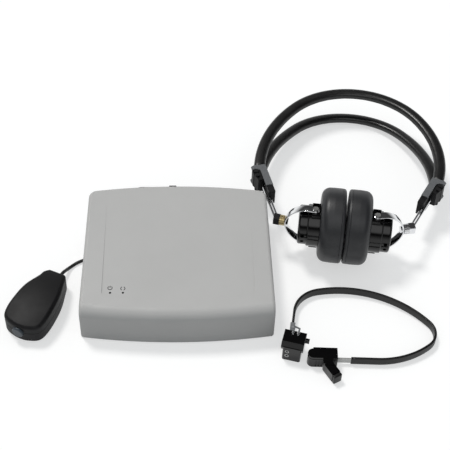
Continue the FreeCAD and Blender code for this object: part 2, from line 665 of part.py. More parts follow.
def cord_gland():
    """Tapered sleeve round the cord at the switch's rear end."""
    cone = Part.makeCone(GLAND_R, CORD_R + 0.5, GLAND_LENGTH, V(0, 0, GLAND_Z), V(-1, 0, 0))
    body = rod(GLAND_R, V(0, 0, GLAND_Z), V(SHELL_WALL, 0, GLAND_Z))
    flange = rod(GLAND_R + 1.2, V(SHELL_WALL, 0, GLAND_Z), V(SHELL_WALL + 1.2, 0, GLAND_Z))
    hole = rod(CORD_R, V(-2 * GLAND_LENGTH, 0, GLAND_Z), V(SHELL_WALL + 5, 0, GLAND_Z))
    return cone.fuse(body).fuse(flange).cut(hole)


# The cord's route on the table, from the gland to the hank and from the hank to the plug.
CORD_OUT = [(-120.01, -5.87, 8.0), (-118.55, -2.8, 8.0), (-116.3, 1.95, 5.4), (-112.6, 8.9, 1.9),
            (-104.0, 16.8, 1.9), (-91.5, 21.4, 1.9), (-79.0, 25.6, 1.9), (-66.8, 31.4, 1.9), (-57.6, 41.0, 1.9),
            (-52.2, 53.5, 1.9), (-52.7, 66.5, 1.9), (-51.8, 78.0, 1.9), (-47.8, 88.0, 1.9),
            (-38.5, 94.2, 1.9), (-27.0, 94.6, 1.9), (-19.5, 94.6, 1.9)]
CORD_BACK = [(-6.5, 93.9, 9.0), (1.5, 94.0, 9.8), (8.0, 94.1, 12.9), (14.0, 94.0, 13.2),
             (20.0, 93.8, 13.3), (25.9, 93.6, 14.26), (31.46, 93.6, 16.51)]


def round_path(points):
    """Straight runs joined by tangent arcs, each as large as its two runs allow."""
    pts = [V(*p) for p in points]
    edges, last = [], pts[0]
    for before, at, after in zip(pts, pts[1:], pts[2:]):
        a, b = before - at, after - at
        shorter = min(a.Length, b.Length)
        turn = math.pi - a.getAngle(b)
        tangent = 0.45 * shorter
        radius = tangent / math.tan(turn / 2)
        start = at + a.normalize() * tangent
        end = at + b.normalize() * tangent
        inward = (a + b).normalize()
        depth = radius / math.cos(turn / 2) - radius
        edges.append(Part.LineSegment(last, start).toShape())
        edges.append(Part.Arc(start, at + inward * depth, end).toShape())
        print("cord arc at (%.1f, %.1f, %.1f): radius %.1f mm, turn %.0f deg"
              % (at.x, at.y, at.z, radius, math.degrees(turn)))
        last = end
    edges.append(Part.LineSegment(last, pts[-1]).toShape())
    return Part.Wire(edges)


def cord_tube(points):
    """Round tube along a route."""
    path = round_path(points)
    start, way = V(*points[0]), V(*points[1]) - V(*points[0])
    section = Part.Wire([Part.makeCircle(CORD_R, start, way)])
    tube = path.makePipeShell([section], True, False)
    area = math.pi * CORD_R ** 2
    print("cord run %.1f mm, volume against section times length: %.4f"
          % (path.Length, tube.Volume / (area * path.Length)))
    return tube


def hank_size():
    """Outer end radius, inner end radius and height of the hank."""
    side_by_side, layers = HANK_TURNS
    middle = HANK_FOLD * CORD_R
    spread = side_by_side * CORD_R
    return middle + spread, middle - spread, 2 * CORD_R * layers


def stadium(radius, z0, z1):
    """Solid racetrack of the hank's run, with ends of one radius."""
    half = HANK_RUN / 2
    x, y = HANK_AT
    bar = box(x - half, x + half, y - radius, y + radius, z0, z1)
    for end in (x - half, x + half):
        bar = bar.fuse(Part.makeCylinder(radius, z1 - z0, V(end, y, z0)))
    return bar.removeSplitter()


def cord_hank():
    """Outer shape of the wound cord: a flat racetrack with its slot."""
    outer, inner, tall = hank_size()
    return stadium(outer, 0, tall).cut(stadium(inner, -1, tall + 1))


def hank_tie():
    """Band round the middle of the hank."""
    outer, _, tall = hank_size()
    x, y = HANK_AT
    out = box(x - 4, x + 4, y - outer - TIE_T, y + outer + TIE_T, 0, tall + TIE_T)
    return out.cut(box(x - 5, x + 5, y - outer, y + outer, -1, tall))


def jack_plug():
    """Right-angled plug: a round body across the panel, a collar and a tapered cord end."""
    x, z = SOCKET_X[3], SOCKET_Z
    body = rod(PLUG_BODY_R, V(x - PLUG_BODY + 6.0, PLUG_Y, z), V(x + 6.0, PLUG_Y, z))
    far = [e for e in body.Edges if len(e.Vertexes) == 1 and e.CenterOfMass.x > x]
    body = body.makeFillet(1.2, far)
    start = x - PLUG_BODY + 6.0
    tail = Part.makeCone(PLUG_BODY_R - 1.2, CORD_R + 0.6, PLUG_TAIL, V(start, PLUG_Y, z), V(-1, 0, 0))
    body = turned(body.fuse(tail), -PLUG_TILT, V(x, PLUG_Y, z), Y_AXIS)
    collar = rod(JACK_BORE_R + 1.3, V(x, collar_end(), z), V(x, PLUG_Y, z))
    plug = body.fuse(collar)
    return plug.cut(pin_bar(JACK_BORE_R - RUN_GAP))


def collar_end():
    """Where the plug's collar meets the mouth of the socket."""
    return REAR_PANEL_Y + REAR_PANEL_T + JACK_NUT[1] + 0.6


def pin_bar(r):
    """Bar on the plug's pin axis, from inside the socket into the plug's body."""
    x, z = SOCKET_X[3], SOCKET_Z
    return rod(r, V(x, collar_end() - jack_depth() + 3.0, z), V(x, PLUG_Y, z))


def jack_pin():
    """Metal pin of the plug, with its waist and tip."""
    x, z = SOCKET_X[3], SOCKET_Z
    r = JACK_BORE_R - RUN_GAP
    pin = pin_bar(r)
    tip = collar_end() - jack_depth() + 3.0
    pin = pin.cut(ring(r + 1, r - 0.5, V(x, tip + 4.0, z), V(x, tip + 5.5, z)))
    end = [e for e in pin.Edges if len(e.Vertexes) == 1 and abs(e.CenterOfMass.y - tip) < 0.1]
    return pin.makeChamfer(1.4, end)


def build_switch():
    """All nodes of the response switch."""
    place = switch_place()
    top, bottom = switch_shells()
    save("switch_top_shell", top, place)
    save("switch_bottom_shell", bottom, place)
    save("shell_screws", together([screw(at, 0.0, 1) for at in shell_screw_at()]), place)
    save("micro_switch", micro_switch(), place)
    save("response_button", response_button(), place)
    save("button_spring", button_spring(), place)
    save("cord_gland", cord_gland(), place)
    wound = cord_hank().fuse(hank_tie())
    save("response_cord", together([cord_tube(CORD_OUT).cut(wound), cord_tube(CORD_BACK).cut(wound)]))
    save("cord_hank", cord_hank())
    save("hank_tie", hank_tie())
    save("jack_plug", jack_plug())
    save("jack_pin", jack_pin())


# ---------------------------------------------------------------- headset
# Frame: x across the head, y towards the top of the bands, z up from the table side.
# Side pieces are drawn for the right side and mirrored for the left one.

def band_drop():
    """Height of the lower band's lowest point below the headset's plane, and its distance."""
    return BAND_PEAK_Z + SLEEVE[1] / 2, BANDS["lower"][1][1]


def headset_slope():
    """Angle at which the headset leans so that cushions and lower band both lie on the table."""
    drop, far = band_drop()
    reach = math.hypot(far, drop)
    return math.degrees(math.asin(CUSHION_R / reach) - math.atan2(drop, far))


def headset_place():
    """Placement of the headset on the table."""
    turn = FreeCAD.Rotation(Z_AXIS, HEADSET_YAW).multiply(FreeCAD.Rotation(X_AXIS, -headset_slope()))
    return FreeCAD.Placement(V(HEADSET_AT[0], HEADSET_AT[1], CUSHION_R + HEADSET_LIFT), turn)


def ear_turn(side):
    """Turn of one earphone in the headset's plane, as drawn for the right side."""
    return -EAR_TURN if side == "right" else EAR_TURN


def pivot(side):
    """Centre of the earphone's pivot screws, as drawn for the right side."""
    turn = FreeCAD.Rotation(Z_AXIS, ear_turn(side))
    roll = FreeCAD.Rotation(X_AXIS, EAR_ROLL)
    return turn.multVec(V(PIVOT_X, 0, 0)) + roll.multVec(V(0, -PIVOT_DROP, 0))


def fork_turn(side):
    """Placement of the fork's frame: x from the pivot outwards along the fork, z on the pivot."""
    roll = FreeCAD.Rotation(X_AXIS, EAR_ROLL)
    lean = FreeCAD.Rotation(Z_AXIS, FORK_LEAN[side])
    return FreeCAD.Placement(pivot(side), roll.multiply(lean))


def earphone_turn(side):
    """Placement of the earphone's frame, with its origin on the pivot."""
    roll = FreeCAD.Rotation(X_AXIS, EAR_ROLL)
    toe = FreeCAD.Rotation(Z_AXIS, ear_turn(side) - CUSHION_TOE)
    return FreeCAD.Placement(pivot(side), roll.multiply(toe))


def swivel_centre(side):
    """Centre of the swivel block in the headset's frame, right side."""
    return fork_turn(side).multVec(V(swivel_reach(), 0, 0))


def swivel_reach():
    """Distance from the pivot to the centre of the swivel block."""
    return FORK_REACH + FORK_T / 2 + SIDE_GAP + NUT_T + SWIVEL_BLOCK[0] / 2


def clamp_place(side):
    """Placement of a clamp: y along the rods from the slide block's lower end, x outwards."""
    lean = math.radians(ROD_LEAN[side])
    at = swivel_centre(side) + V(math.sin(lean), math.cos(lean), 0) * ROD_SHOWN[side]
    at = at + V(math.cos(lean), -math.sin(lean), 0) * ROD_START
    return FreeCAD.Placement(at, FreeCAD.Rotation(Z_AXIS, -ROD_LEAN[side]))


def put(shape, place):
    """Copy of a shape in another frame."""
    copy = shape.copy()
    copy.Placement = place.multiply(copy.Placement)
    return copy


def handed(shape, side):
    """The shape itself on the right side, its mirror image on the left."""
    return shape if side == "right" else shape.mirror(V(0, 0, 0), X_AXIS)


def lathe(points, centre=PIVOT_DROP):
    """Solid turned about the cushion's or drum's axis from a profile of (x, radius) points and arcs.

    An entry (x, r, mx, mr) is reached from the entry before it by an arc through (mx, mr).
    """
    axis = V(0, centre, 0)
    edges, last = [], None
    for p in points + points[:1]:
        here = axis + V(p[0], p[1], 0)
        if last is not None and len(p) == 4:
            edges.append(Part.Arc(last, axis + V(p[2], p[3], 0), here).toShape())
        elif last is not None:
            edges.append(Part.LineSegment(last, here).toShape())
        last = here
    return Part.Face(Part.Wire(edges)).revolve(axis, X_AXIS, 360)


def ear_cushion():
    """Rubber cushion: turned, with a full rear edge, a tighter front edge and the ear's hole."""
    x0 = CUSHION_HALF_GAP - PIVOT_X
    x1 = x0 + CUSHION_T
    r, c = CUSHION_R, math.sqrt(0.5)
    f, b = CUSHION_FACE, CUSHION_BACK
    rim = 3.0
    profile = [(x0 + rim, CUSHION_HOLE),
               (x0, CUSHION_HOLE + rim, x0 + rim - rim * c, CUSHION_HOLE + rim - rim * c),
               (x0, r - f),
               (x0 + f, r, x0 + f - f * c, r - f + f * c),
               (x1 - b, r),
               (x1, r - b, x1 - b + b * c, r - b + b * c),
               (x1, cushion_bore()),
               (x1 - SEAT_DEPTH, cushion_bore()),
               (x1 - SEAT_DEPTH, CUSHION_HOLE)]
    return lathe(profile)


def cushion_bore():
    """Radius of the seat that the case fills in the back of the cushion."""
    return EAR_CASE_R - 2.5


def case_from():
    """Front end of the earphone case, from the pivot."""
    return CUSHION_HALF_GAP - PIVOT_X + CUSHION_T - SEAT_DEPTH


def case_to():
    """Rear end of the earphone case, from the pivot."""
    return CUSHION_HALF_GAP - PIVOT_X + CUSHION_T + EAR_CASE_T


def block_from():
    """Front face of the pivot blocks."""
    return CUSHION_HALF_GAP - PIVOT_X + CUSHION_T + 0.4


def drum_axis():
    """Axis of the drum and its cap, across the fork."""
    return PIVOT_DROP - DRUM_DROP


def earphone_case():
    """Moulded case: a nose in the cushion, a drum, and pivot blocks above and below."""
    nose, rear = case_from(), case_to()
    back = nose + SEAT_DEPTH
    e, c = CASE_EDGE, math.sqrt(0.5)
    drum = lathe([(back, 0.0), (back, EAR_CASE_R), (rear - e, EAR_CASE_R),
                  (rear, EAR_CASE_R - e, rear - e + e * c, EAR_CASE_R - e + e * c), (rear, 0.0)], drum_axis())
    shell = drum.fuse(lathe([(nose, 0.0), (nose, cushion_bore()), (back + 1.0, cushion_bore()), (back + 1.0, 0.0)]))
    hollow = lathe([(nose + 3.0, 0.0), (nose + 3.0, cushion_bore() - 2.5), (rear - 1.8, cushion_bore() - 2.5),
                    (rear - 1.8, 0.0)])
    port = rod(CUSHION_HOLE - 2.0, V(nose - 1, PIVOT_DROP, 0), V(nose + 4, PIVOT_DROP, 0))
    x0 = block_from()
    x1 = x0 + EAR_BLOCK[0]
    half = EAR_BLOCK[1] / 2
    top = FORK_Z - FORK_T / 2 - SIDE_GAP
    lip_in = FORK_W / 2 + 2.0
    block = box(x0, x1, -half, half, EAR_CASE_R - 7.0, top)
    lip = box(x0, x1, lip_in, half, top - 1.0, top + FORK_T + 1.6)
    both = block.fuse(lip)
    case = shell.fuse(both).fuse(turned(both, 180, axis=X_AXIS).mirror(V(0, 0, 0), V(0, 1, 0)))
    case = case.cut(hollow).cut(port)
    return case.cut(rod(PIVOT_R, V(0, 0, -FORK_Z - 5), V(0, 0, FORK_Z + 5)))


def earphone_cap():
    """Rear cap, with the two sockets for the lead in its lower side."""
    x0 = case_to()
    x1 = x0 + CAP_T
    e, c = 2.4, math.sqrt(0.5)
    cap = lathe([(x0, 0.0), (x0, CAP_R), (x1 - e, CAP_R), (x1, CAP_R - e, x1 - e + e * c, CAP_R - e + e * c),
                 (x1, 0.0)], drum_axis())
    mid = (x0 + x1) / 2 - 0.4
    rim = drum_axis() - CAP_R
    for z in (-SOCKET_SPLIT / 2, SOCKET_SPLIT / 2):
        cap = cap.cut(rod(LEAD_HOLE_R, V(mid, rim - 2.0, z), V(mid, rim + 7.0, z)))
    return cap


def driver():
    """Driver capsule behind the port."""
    nose = case_from() + 3.0
    return lathe([(nose, 0.0), (nose, cushion_bore() - 3.0), (nose + 9.0, cushion_bore() - 3.0),
                  (nose + 12.0, 9.0), (nose + 12.0, 0.0)])


def pivot_screws():
    """Two screws through the fork's tabs into the pivot blocks."""
    group = []
    for up in (-1, 1):
        z_out = up * (FORK_Z + FORK_T / 2)
        shank = rod(PIVOT_R, V(0, 0, up * (EAR_CASE_R - 5.0)), V(0, 0, z_out))
        head = rod(PIVOT_R + 1.2, V(0, 0, z_out + up * SIDE_GAP / 2), V(0, 0, z_out + up * 1.6))
        neck = rod(PIVOT_R, V(0, 0, z_out), V(0, 0, z_out + up * 1.0))
        group.append(shank.fuse(neck).fuse(head))
    return together(group)


def offset_line(points, gap):
    """The line of points in the x-z plane, moved sideways by a gap, with mitred bends."""
    ways = [(b - a).normalize() for a, b in zip(points, points[1:])]
    sides = [V(-w.z, 0, w.x) for w in ways]
    moved_points = [points[0] + sides[0] * gap]
    for p, before, after in zip(points[1:], sides, sides[1:]):
        mitre = before + after
        moved_points.append(p + mitre * (2 * gap / mitre.dot(mitre)))
    return moved_points + [points[-1] + sides[-1] * gap]


def yoke():
    """Fork of flat strip: bow, two bent arms, and two tabs with round ends."""
    t, w = FORK_T / 2, FORK_W / 2
    z = FORK_Z
    middle = [V(0, 0, z), V(FORK_TAB, 0, z), V(FORK_KNEE[0], 0, FORK_KNEE[1]), V(FORK_REACH, 0, FORK_BOW)]
    middle += [V(p.x, 0, -p.z) for p in reversed(middle)]
    edge = [p - V(0, w, 0) for p in offset_line(middle, t) + offset_line(middle, -t)[::-1]]
    strip = Part.Face(Part.makePolygon(edge + edge[:1])).extrude(V(0, FORK_W, 0))
    for up in (-1, 1):
        strip = strip.fuse(rod(w, V(0, 0, up * (z - t)), V(0, 0, up * (z + t))))
    strip = strip.removeSplitter()
    strip = strip.cut(rod(PIVOT_R + RUN_GAP, V(0, 0, -z - 5), V(0, 0, z + 5)))
    return strip.cut(rod(STEM_R + RUN_GAP, V(FORK_REACH - 5, 0, 0), V(FORK_REACH + 5, 0, 0)))


def swivel_nut():
    """Knurled brass nut between the fork and the swivel block."""
    x0 = FORK_REACH + FORK_T / 2 + SIDE_GAP
    nut = rod(NUT_R, V(x0, 0, 0), V(x0 + NUT_T, 0, 0))
    for i in range(18):
        a = math.radians(20 * i)
        y, z = NUT_R * math.cos(a), NUT_R * math.sin(a)
        nut = nut.cut(rod(0.35, V(x0 - 1, y, z), V(x0 + NUT_T + 1, y, z)))
    return nut.cut(rod(STEM_R, V(x0 - 1, 0, 0), V(x0 + NUT_T + 1, 0, 0)))


def swivel_block():
    """Block at the rods' lower ends, with the stem that the fork turns on."""
    x0 = FORK_REACH + FORK_T / 2 + SIDE_GAP + NUT_T
    sx, sy, sz = SWIVEL_BLOCK
    block = box(x0, x0 + sx, -sy / 2, sy / 2, -sz / 2, sz / 2)
    block = block.makeFillet(1.2, [e for e in block.Edges if abs(e.CenterOfMass.x - x0 - sx / 2) < 0.1])
    stem = rod(STEM_R, V(FORK_REACH - FORK_T / 2 - 1.6, 0, 0), V(x0 + 1, 0, 0))
    head = rod(STEM_R + 1.6, V(FORK_REACH - FORK_T / 2 - 1.6 - SIDE_GAP, 0, 0),
               V(FORK_REACH - FORK_T / 2 - SIDE_GAP, 0, 0))
    return block.fuse(stem).fuse(head)


def rod_lines(side):
    """Start and direction of the two rods in the headset's frame, right side."""
    place = clamp_place(side)
    way = place.Rotation.multVec(V(0, 1, 0))
    starts = [place.multVec(V(out, -ROD_SHOWN[side], 0)) for out in (0.0, ROD_PITCH)]
    return starts, way


def rod_length(side, which):
    """Length of a rod: both end inside the clamp, with room to slide further in."""
    return ROD_SHOWN[side] + (SLIDE_LENGTH + 4.0, COVER_FROM + 5.0)[which]


def rods(side, r, extra=0.0):
    """The two rods, or their bores when drawn larger and longer."""
    starts, way = rod_lines(side)
    bars = [rod(r, s, s + way * (rod_length(side, i) + extra)) for i, s in enumerate(starts)]
    return bars


def slide_block(side):
    """Black block that the first rod slides in."""
    block = box(-PLATE_IN, PLATE_OUT - 0.5, 0, SLIDE_LENGTH, -clamp_inside(), clamp_inside())
    foot = [e for e in block.Edges if abs(e.CenterOfMass.y) < 0.01]
    block = put(block.makeChamfer(0.8, foot), clamp_place(side))
    return block.cut(rods(side, ROD_R + RUN_GAP, 30.0)[0])


def clamp_inside():
    """Half the height between a clamp's two plates."""
    return CLAMP_HALF - PLATE_T


def end_plate(side, springs):
    """Bent plate: two flanges joined by a web, hooked over the end cover."""
    z0, z1 = clamp_inside(), CLAMP_HALF
    plan = [(-PLATE_IN, PLATE_FROM), (PLATE_OUT, PLATE_FROM), (PLATE_OUT, HOOK_FROM - 3.0),
            (PLATE_OUT + 3.0, HOOK_FROM), (HOOK_OUT, HOOK_FROM), (HOOK_OUT, PLATE_TO - 2.0),
            (HOOK_OUT - 3.0, PLATE_TO), (-PLATE_IN, PLATE_TO)]
    plate = prism(plan, z0, z1).fuse(prism(plan, -z1, -z0))
    web = box(-PLATE_IN, -PLATE_IN + PLATE_T, SLIDE_LENGTH, PLATE_TO, -z1, z1)
    plate = plate.fuse(web)
    plate = plate.cut(rivet_bars(RIVET_R))
    return put(plate, clamp_place(side)).cut(springs)


def end_cover(side, springs):
    """Moulded block outside the rods, bored for the second rod."""
    z = clamp_inside()
    low, out = COVER_FROM, COVER_OUT
    plan = [(PLATE_OUT + 0.1, low), (out - 3.0, low), (out - 0.6, low + 9.0), (out, low + 9.6),
            (out, HOOK_FROM - 0.1), (PLATE_OUT + 0.1, HOOK_FROM - 0.1)]
    block = prism(plan, -z, z).cut(rivet_bars(RIVET_R))
    block = put(block, clamp_place(side)).cut(springs)
    return block.cut(rods(side, ROD_R + RUN_GAP, ROD_TRAVEL + 1.0)[1])


def clamp_room(side):
    """Space that a clamp takes up, in which the padded sleeves end."""
    top = CLAMP_HALF + 2 * SLEEVE[1]
    room = box(-PLATE_IN - 0.3, HOOK_OUT + 0.3, 0, PLATE_TO + 0.3, -top, top)
    return put(room, clamp_place(side))


def rivet_bars(r):
    """Bars at the rivets, through the whole clamp."""
    top = CLAMP_HALF + 5
    bars = [rod(r, V(out, up, -top), V(out, up, top)) for up, out in RIVET_AT]
    return together(bars)


def rivets(side):
    """Rivets with round heads above and below the clamp."""
    group = []
    for up, out in RIVET_AT:
        shank = rod(RIVET_R, V(out, up, -CLAMP_HALF), V(out, up, CLAMP_HALF))
        for way in (-1, 1):
            head = rod(RIVET_HEAD_R, V(out, up, way * CLAMP_HALF), V(out, up, way * (CLAMP_HALF + RIVET_HEAD_T)))
            shank = shank.fuse(head)
        group.append(put(shank, clamp_place(side)))
    return group


def band_edges(which, tongues):
    """Centre line of a band: a top arc between two flatter side arcs, leaning to one side.

    With tongues, straight ends run on into the clamps.
    """
    r_top, peak, lean, sides = BANDS[which]
    top_mid = V(0, -r_top, 0)
    edges = []

    def at(mid, r, angle, way):
        return mid + V(way * r * math.sin(angle), r * math.cos(angle), 0)

    ends = {}
    for way, (r_side, top_half, leg) in zip((-1, 1), (sides["left"], sides["right"])):
        t = math.radians(top_half)
        side_mid = top_mid - V(way * (r_side - r_top) * math.sin(t), (r_side - r_top) * math.cos(t), 0)
        leg = math.radians(leg)
        a, b, c = [at(side_mid, r_side, k, way) for k in (t, (t + leg) / 2, leg)]
        down = V(way * math.cos(leg), -math.sin(leg), 0)
        ends[way] = (a, b, c, c + down * TONGUE)
    a, b, c, d = ends[-1]
    if tongues:
        edges.append(Part.LineSegment(d, c).toShape())
    edges.append(Part.Arc(c, b, a).toShape())
    a2, b2, c2, d2 = ends[1]
    edges.append(Part.Arc(a, V(0, 0, 0), a2).toShape())
    edges.append(Part.Arc(a2, b2, c2).toShape())
    if tongues:
        edges.append(Part.LineSegment(c2, d2).toShape())
    wire = Part.Wire(edges)
    wire.rotate(V(0, 0, 0), Z_AXIS, lean)
    wire.translate(V(peak[0], peak[1], 0))
    return wire


def band_plane(which):
    """Placement that fans a band's plane out of the headset's plane, about the line of clamps."""
    way = 1 if which == "upper" else -1
    peak = BANDS[which][1][1]
    slope = math.degrees(math.atan((BAND_PEAK_Z - BAND_Z) / (peak - BAND_CLAMP_Y)))
    about = V(0, BAND_CLAMP_Y, way * BAND_Z)
    lift = FreeCAD.Placement(V(0, 0, way * BAND_Z), FreeCAD.Rotation())
    fan = FreeCAD.Placement(V(0, 0, 0), FreeCAD.Rotation(X_AXIS, way * slope), about)
    return fan.multiply(lift)


def swept(which, tongues, wide, tall, rounding):
    """Bar of a rounded section along a band's centre line."""
    wire = band_edges(which, tongues)
    first = wire.OrderedEdges[0]
    start = first.valueAt(first.FirstParameter)
    way = first.tangentAt(first.FirstParameter)
    if (wire.OrderedVertexes[0].Point - start).Length > 1e-6:
        start = first.valueAt(first.LastParameter)
        way = first.tangentAt(first.LastParameter) * -1
    across = way.cross(Z_AXIS).normalize()
    plan = [(-wide / 2, -tall / 2), (wide / 2, -tall / 2), (wide / 2, tall / 2), (-wide / 2, tall / 2)]
    corners = [start + across * u + Z_AXIS * v for u, v in plan]
    section = Part.makePolygon(corners + corners[:1])
    if rounding > 0:
        section = rounded_section(start, across, wide, tall, rounding)
    bar = wire.makePipeShell([section], True, False)
    return put(bar, band_plane(which))


def rounded_section(start, across, wide, tall, r):
    """Rectangle with round corners, as a closed wire of lines and arcs."""
    hw, hh, c = wide / 2, tall / 2, math.sqrt(0.5)
    edges = []

    def at(u, v):
        return start + across * u + Z_AXIS * v

    for su, sv in ((1, 1), (-1, 1), (-1, -1), (1, -1)):
        cu, cv = su * (hw - r), sv * (hh - r)
        a, b = at(cu + su * r, cv), at(cu, cv + sv * r)
        mid = at(cu + su * r * c, cv + sv * r * c)
        first, second = (a, b) if su == sv else (b, a)
        if edges:
            edges.append(Part.LineSegment(edges[-1].lastVertex(True).Point, first).toShape())
        edges.append(Part.Arc(first, mid, second).toShape())
    edges.append(Part.LineSegment(edges[-1].lastVertex(True).Point, edges[0].firstVertex(True).Point).toShape())
    return Part.Wire(edges)


def build_headset():
    """All nodes of the headset."""
    place = headset_place()
    thick, wide = SPRING_STRIP
    springs = {w: swept(w, True, thick, wide, 0.0) for w in BANDS}
    both = together(springs.values())
    for which in BANDS:
        sleeve = swept(which, False, SLEEVE[0], SLEEVE[1], SLEEVE_ROUND).cut(springs[which])
        for side in ("left", "right"):
            sleeve = sleeve.cut(handed(clamp_room(side), side))
        save("%s_band_sleeve" % which, sleeve, place)
    plates, covers, blocks, riveting = [], [], [], []
    bars = []
    for side in ("left", "right"):
        mirrored = handed(both, side)
        plates.append(handed(end_plate(side, mirrored), side))
        covers.append(handed(end_cover(side, mirrored), side))
        blocks.append(handed(slide_block(side), side))
        riveting += [handed(r, side) for r in rivets(side)]
        bars.append(handed(put(rivet_bars(RIVET_R), clamp_place(side)), side))
    save("band_springs", together([s.cut(together(bars)) for s in springs.values()]), place)
    save("end_plates", together(plates), place)
    save("end_covers", together(covers), place)
    save("slide_blocks", together([b.cut(both) for b in blocks]), place)
    save("band_rivets", together(riveting), place)
    for side in ("left", "right"):
        fork, ear = fork_turn(side), earphone_turn(side)
        bars = rods(side, ROD_R)
        block = put(swivel_block(), fork)
        for bar in bars:
            block = block.cut(bar)
        save("%s_rods" % side, handed(together(bars), side), place)
        save("%s_swivel_block" % side, handed(block, side), place)
        save("%s_swivel_nut" % side, handed(put(swivel_nut(), fork), side), place)
        save("%s_yoke" % side, handed(put(yoke(), fork), side), place)
        for name, shape in (("earphone_case", earphone_case()), ("earphone_cap", earphone_cap()),
                            ("driver", driver()), ("ear_cushion", ear_cushion()),
                            ("pivot_screws", pivot_screws())):
            save("%s_%s" % (side, name), handed(put(shape, ear), side), place)


# ---------------------------------------------------------------- bone conductor

def bone_wire(z, skip_start, skip_end):
    """Centre line of the strip in plan, less a length at each end."""
    x, y = BONE_START
    heading = math.radians(BONE_HEADING)
    edges = []
    last = len(BONE_PATH) - 1
    for i, (radius, amount) in enumerate(BONE_PATH):
        if radius == 0:
            lead = skip_start if i == 0 else 0.0
            length = amount - (skip_end if i == last else 0.0)
            way = V(math.cos(heading), math.sin(heading), 0)
            edges.append(Part.LineSegment(V(x, y, z) + way * lead, V(x, y, z) + way * length).toShape())
            x, y = x + way.x * amount, y + way.y * amount
        else:
            turn = math.radians(amount)
            mid = V(x - radius * math.sin(heading), y + radius * math.cos(heading), z)
            points = [mid + V(math.sin(heading + k * turn), -math.cos(heading + k * turn), 0) * radius
                      for k in (0, 0.5, 1)]
            edges.append(Part.Arc(*points).toShape())
            x, y = points[2].x, points[2].y
            heading += turn
    return Part.Wire(edges), V(x, y, z), V(math.cos(heading), math.sin(heading), 0)


def bone_strip(thick, tall, z0, skip_start, skip_end):
    """Flat bar on edge along the strip's centre line."""
    wire, _, _ = bone_wire(z0 + tall / 2, skip_start, skip_end)
    start = V(BONE_START[0], BONE_START[1], z0 + tall / 2)
    way = V(math.cos(math.radians(BONE_HEADING)), math.sin(math.radians(BONE_HEADING)), 0)
    start = start + way * skip_start
    across = way.cross(Z_AXIS)
    plan = [(-thick / 2, -tall / 2), (thick / 2, -tall / 2), (thick / 2, tall / 2), (-thick / 2, tall / 2)]
    corners = [start + across * u + Z_AXIS * v for u, v in plan]
    return wire.makePipeShell([Part.makePolygon(corners + corners[:1])], True, False)


def vibrator_place():
    """Placement of the vibrator: x across it, y from its front to its rear, z up."""
    return FreeCAD.Placement(V(VIBRATOR_AT[0], VIBRATOR_AT[1], 0), FreeCAD.Rotation(Z_AXIS, VIBRATOR_TURN))


def vibrator_case():
    """Moulded case of the bone vibrator, hollow."""
    w, d, h = VIBRATOR
    case = box(-w / 2, w / 2, -d / 2, d / 2, 0.3, 0.3 + h)
    case = case.makeFillet(VIBRATOR_ROUND, [e for e in case.Edges if is_upright(e)])
    wall = 1.6
    case = case.cut(box(-w / 2 + wall, w / 2 - wall, -d / 2 + wall + 2.4, d / 2 - wall, 0.3 + wall, 0.3 + h - wall))
    for z in pin_heights():
        case = case.cut(rod(PIN_R[1], V(pin_across(), -d / 2 - 1, z), V(pin_across(), -d / 2 + 3.0, z)))
    return case


def pin_across():
    """Sideways place of the two lead sockets on the vibrator's front."""
    return -VIBRATOR[0] * 0.24


def pin_heights():
    """Heights of the two lead sockets."""
    mid = VIBRATOR[2] * 0.55
    return mid - PIN_PITCH / 2, mid + PIN_PITCH / 2


def pin_sockets():
    """Two small metal tubes in the vibrator's front."""
    front = -VIBRATOR[1] / 2
    group = [ring(PIN_R[1], PIN_R[0], V(pin_across(), front - 0.3, z), V(pin_across(), front + 3.0, z))
             for z in pin_heights()]
    return together(group)


def vibrator_motor():
    """Moving-iron motor inside the case."""
    w, d, h = VIBRATOR
    return box(-w / 2 + 3, w / 2 - 3, -d / 2 + 6, d / 2 - 2.5, 0.3 + 1.6, 0.3 + h - 4.5)


def vibrator_holder():
    """Holder over the vibrator: top plate, sloping front lip, two cheeks and a rear ear."""
    w = VIBRATOR[0]
    inner = w / 2 + 0.05
    outer = inner + HOLDER_WALL
    top_under = 0.3 + VIBRATOR[2]
    back = VIBRATOR[1] / 2
    front = back - HOLDER_DEPTH
    profile = [(front, HOLDER_TOP), (back, HOLDER_TOP), (back, HOLDER_DOWN), (front - 2.0, HOLDER_DOWN + 4.0),
               (front - 3.4, top_under - 1.0)]
    corners = [V(-outer, y, z) for y, z in profile]
    body = Part.Face(Part.makePolygon(corners + corners[:1])).extrude(V(2 * outer, 0, 0))
    body = body.cut(box(-inner, inner, -2 * w, back + 0.05, -1, top_under))
    crown = [e for e in body.Edges if e.BoundBox.ZMin > HOLDER_TOP - 0.1]
    body = body.makeFillet(0.8, crown)
    lug_y = (front + back) / 2 + 3.0
    body = body.fuse(rod(2.6, V(outer - 0.2, lug_y, LUG_Z), V(outer + 3.6, lug_y, LUG_Z)))
    # The bail's cross bar turns in a bore, and its two side wires swing in open slots.
    body = body.cut(bail_bars(BAIL_R + RUN_GAP))
    axis_y, _ = bail_axis()
    near, far = BAIL_GAP / 2 - BAIL_R - 0.2, BAIL_GAP / 2 + BAIL_R + 0.2
    for x0, x1 in ((-far, -near), (near, far)):
        body = body.cut(box(x0, x1, axis_y - BAIL_R - 0.3, back + 1.0, top_under, HOLDER_TOP + 1.0))
    return body


def bail_axis():
    """Height and place of the bail's pivot in the holder."""
    return VIBRATOR[1] / 2 - 4.0, HOLDER_TOP - 1.6


def bail_bars(r):
    """Cross bar of the bail, in the vibrator's frame."""
    y, z = bail_axis()
    half = BAIL_GAP / 2 + BAIL_R
    return rod(r, V(-half, y, z), V(half, y, z))


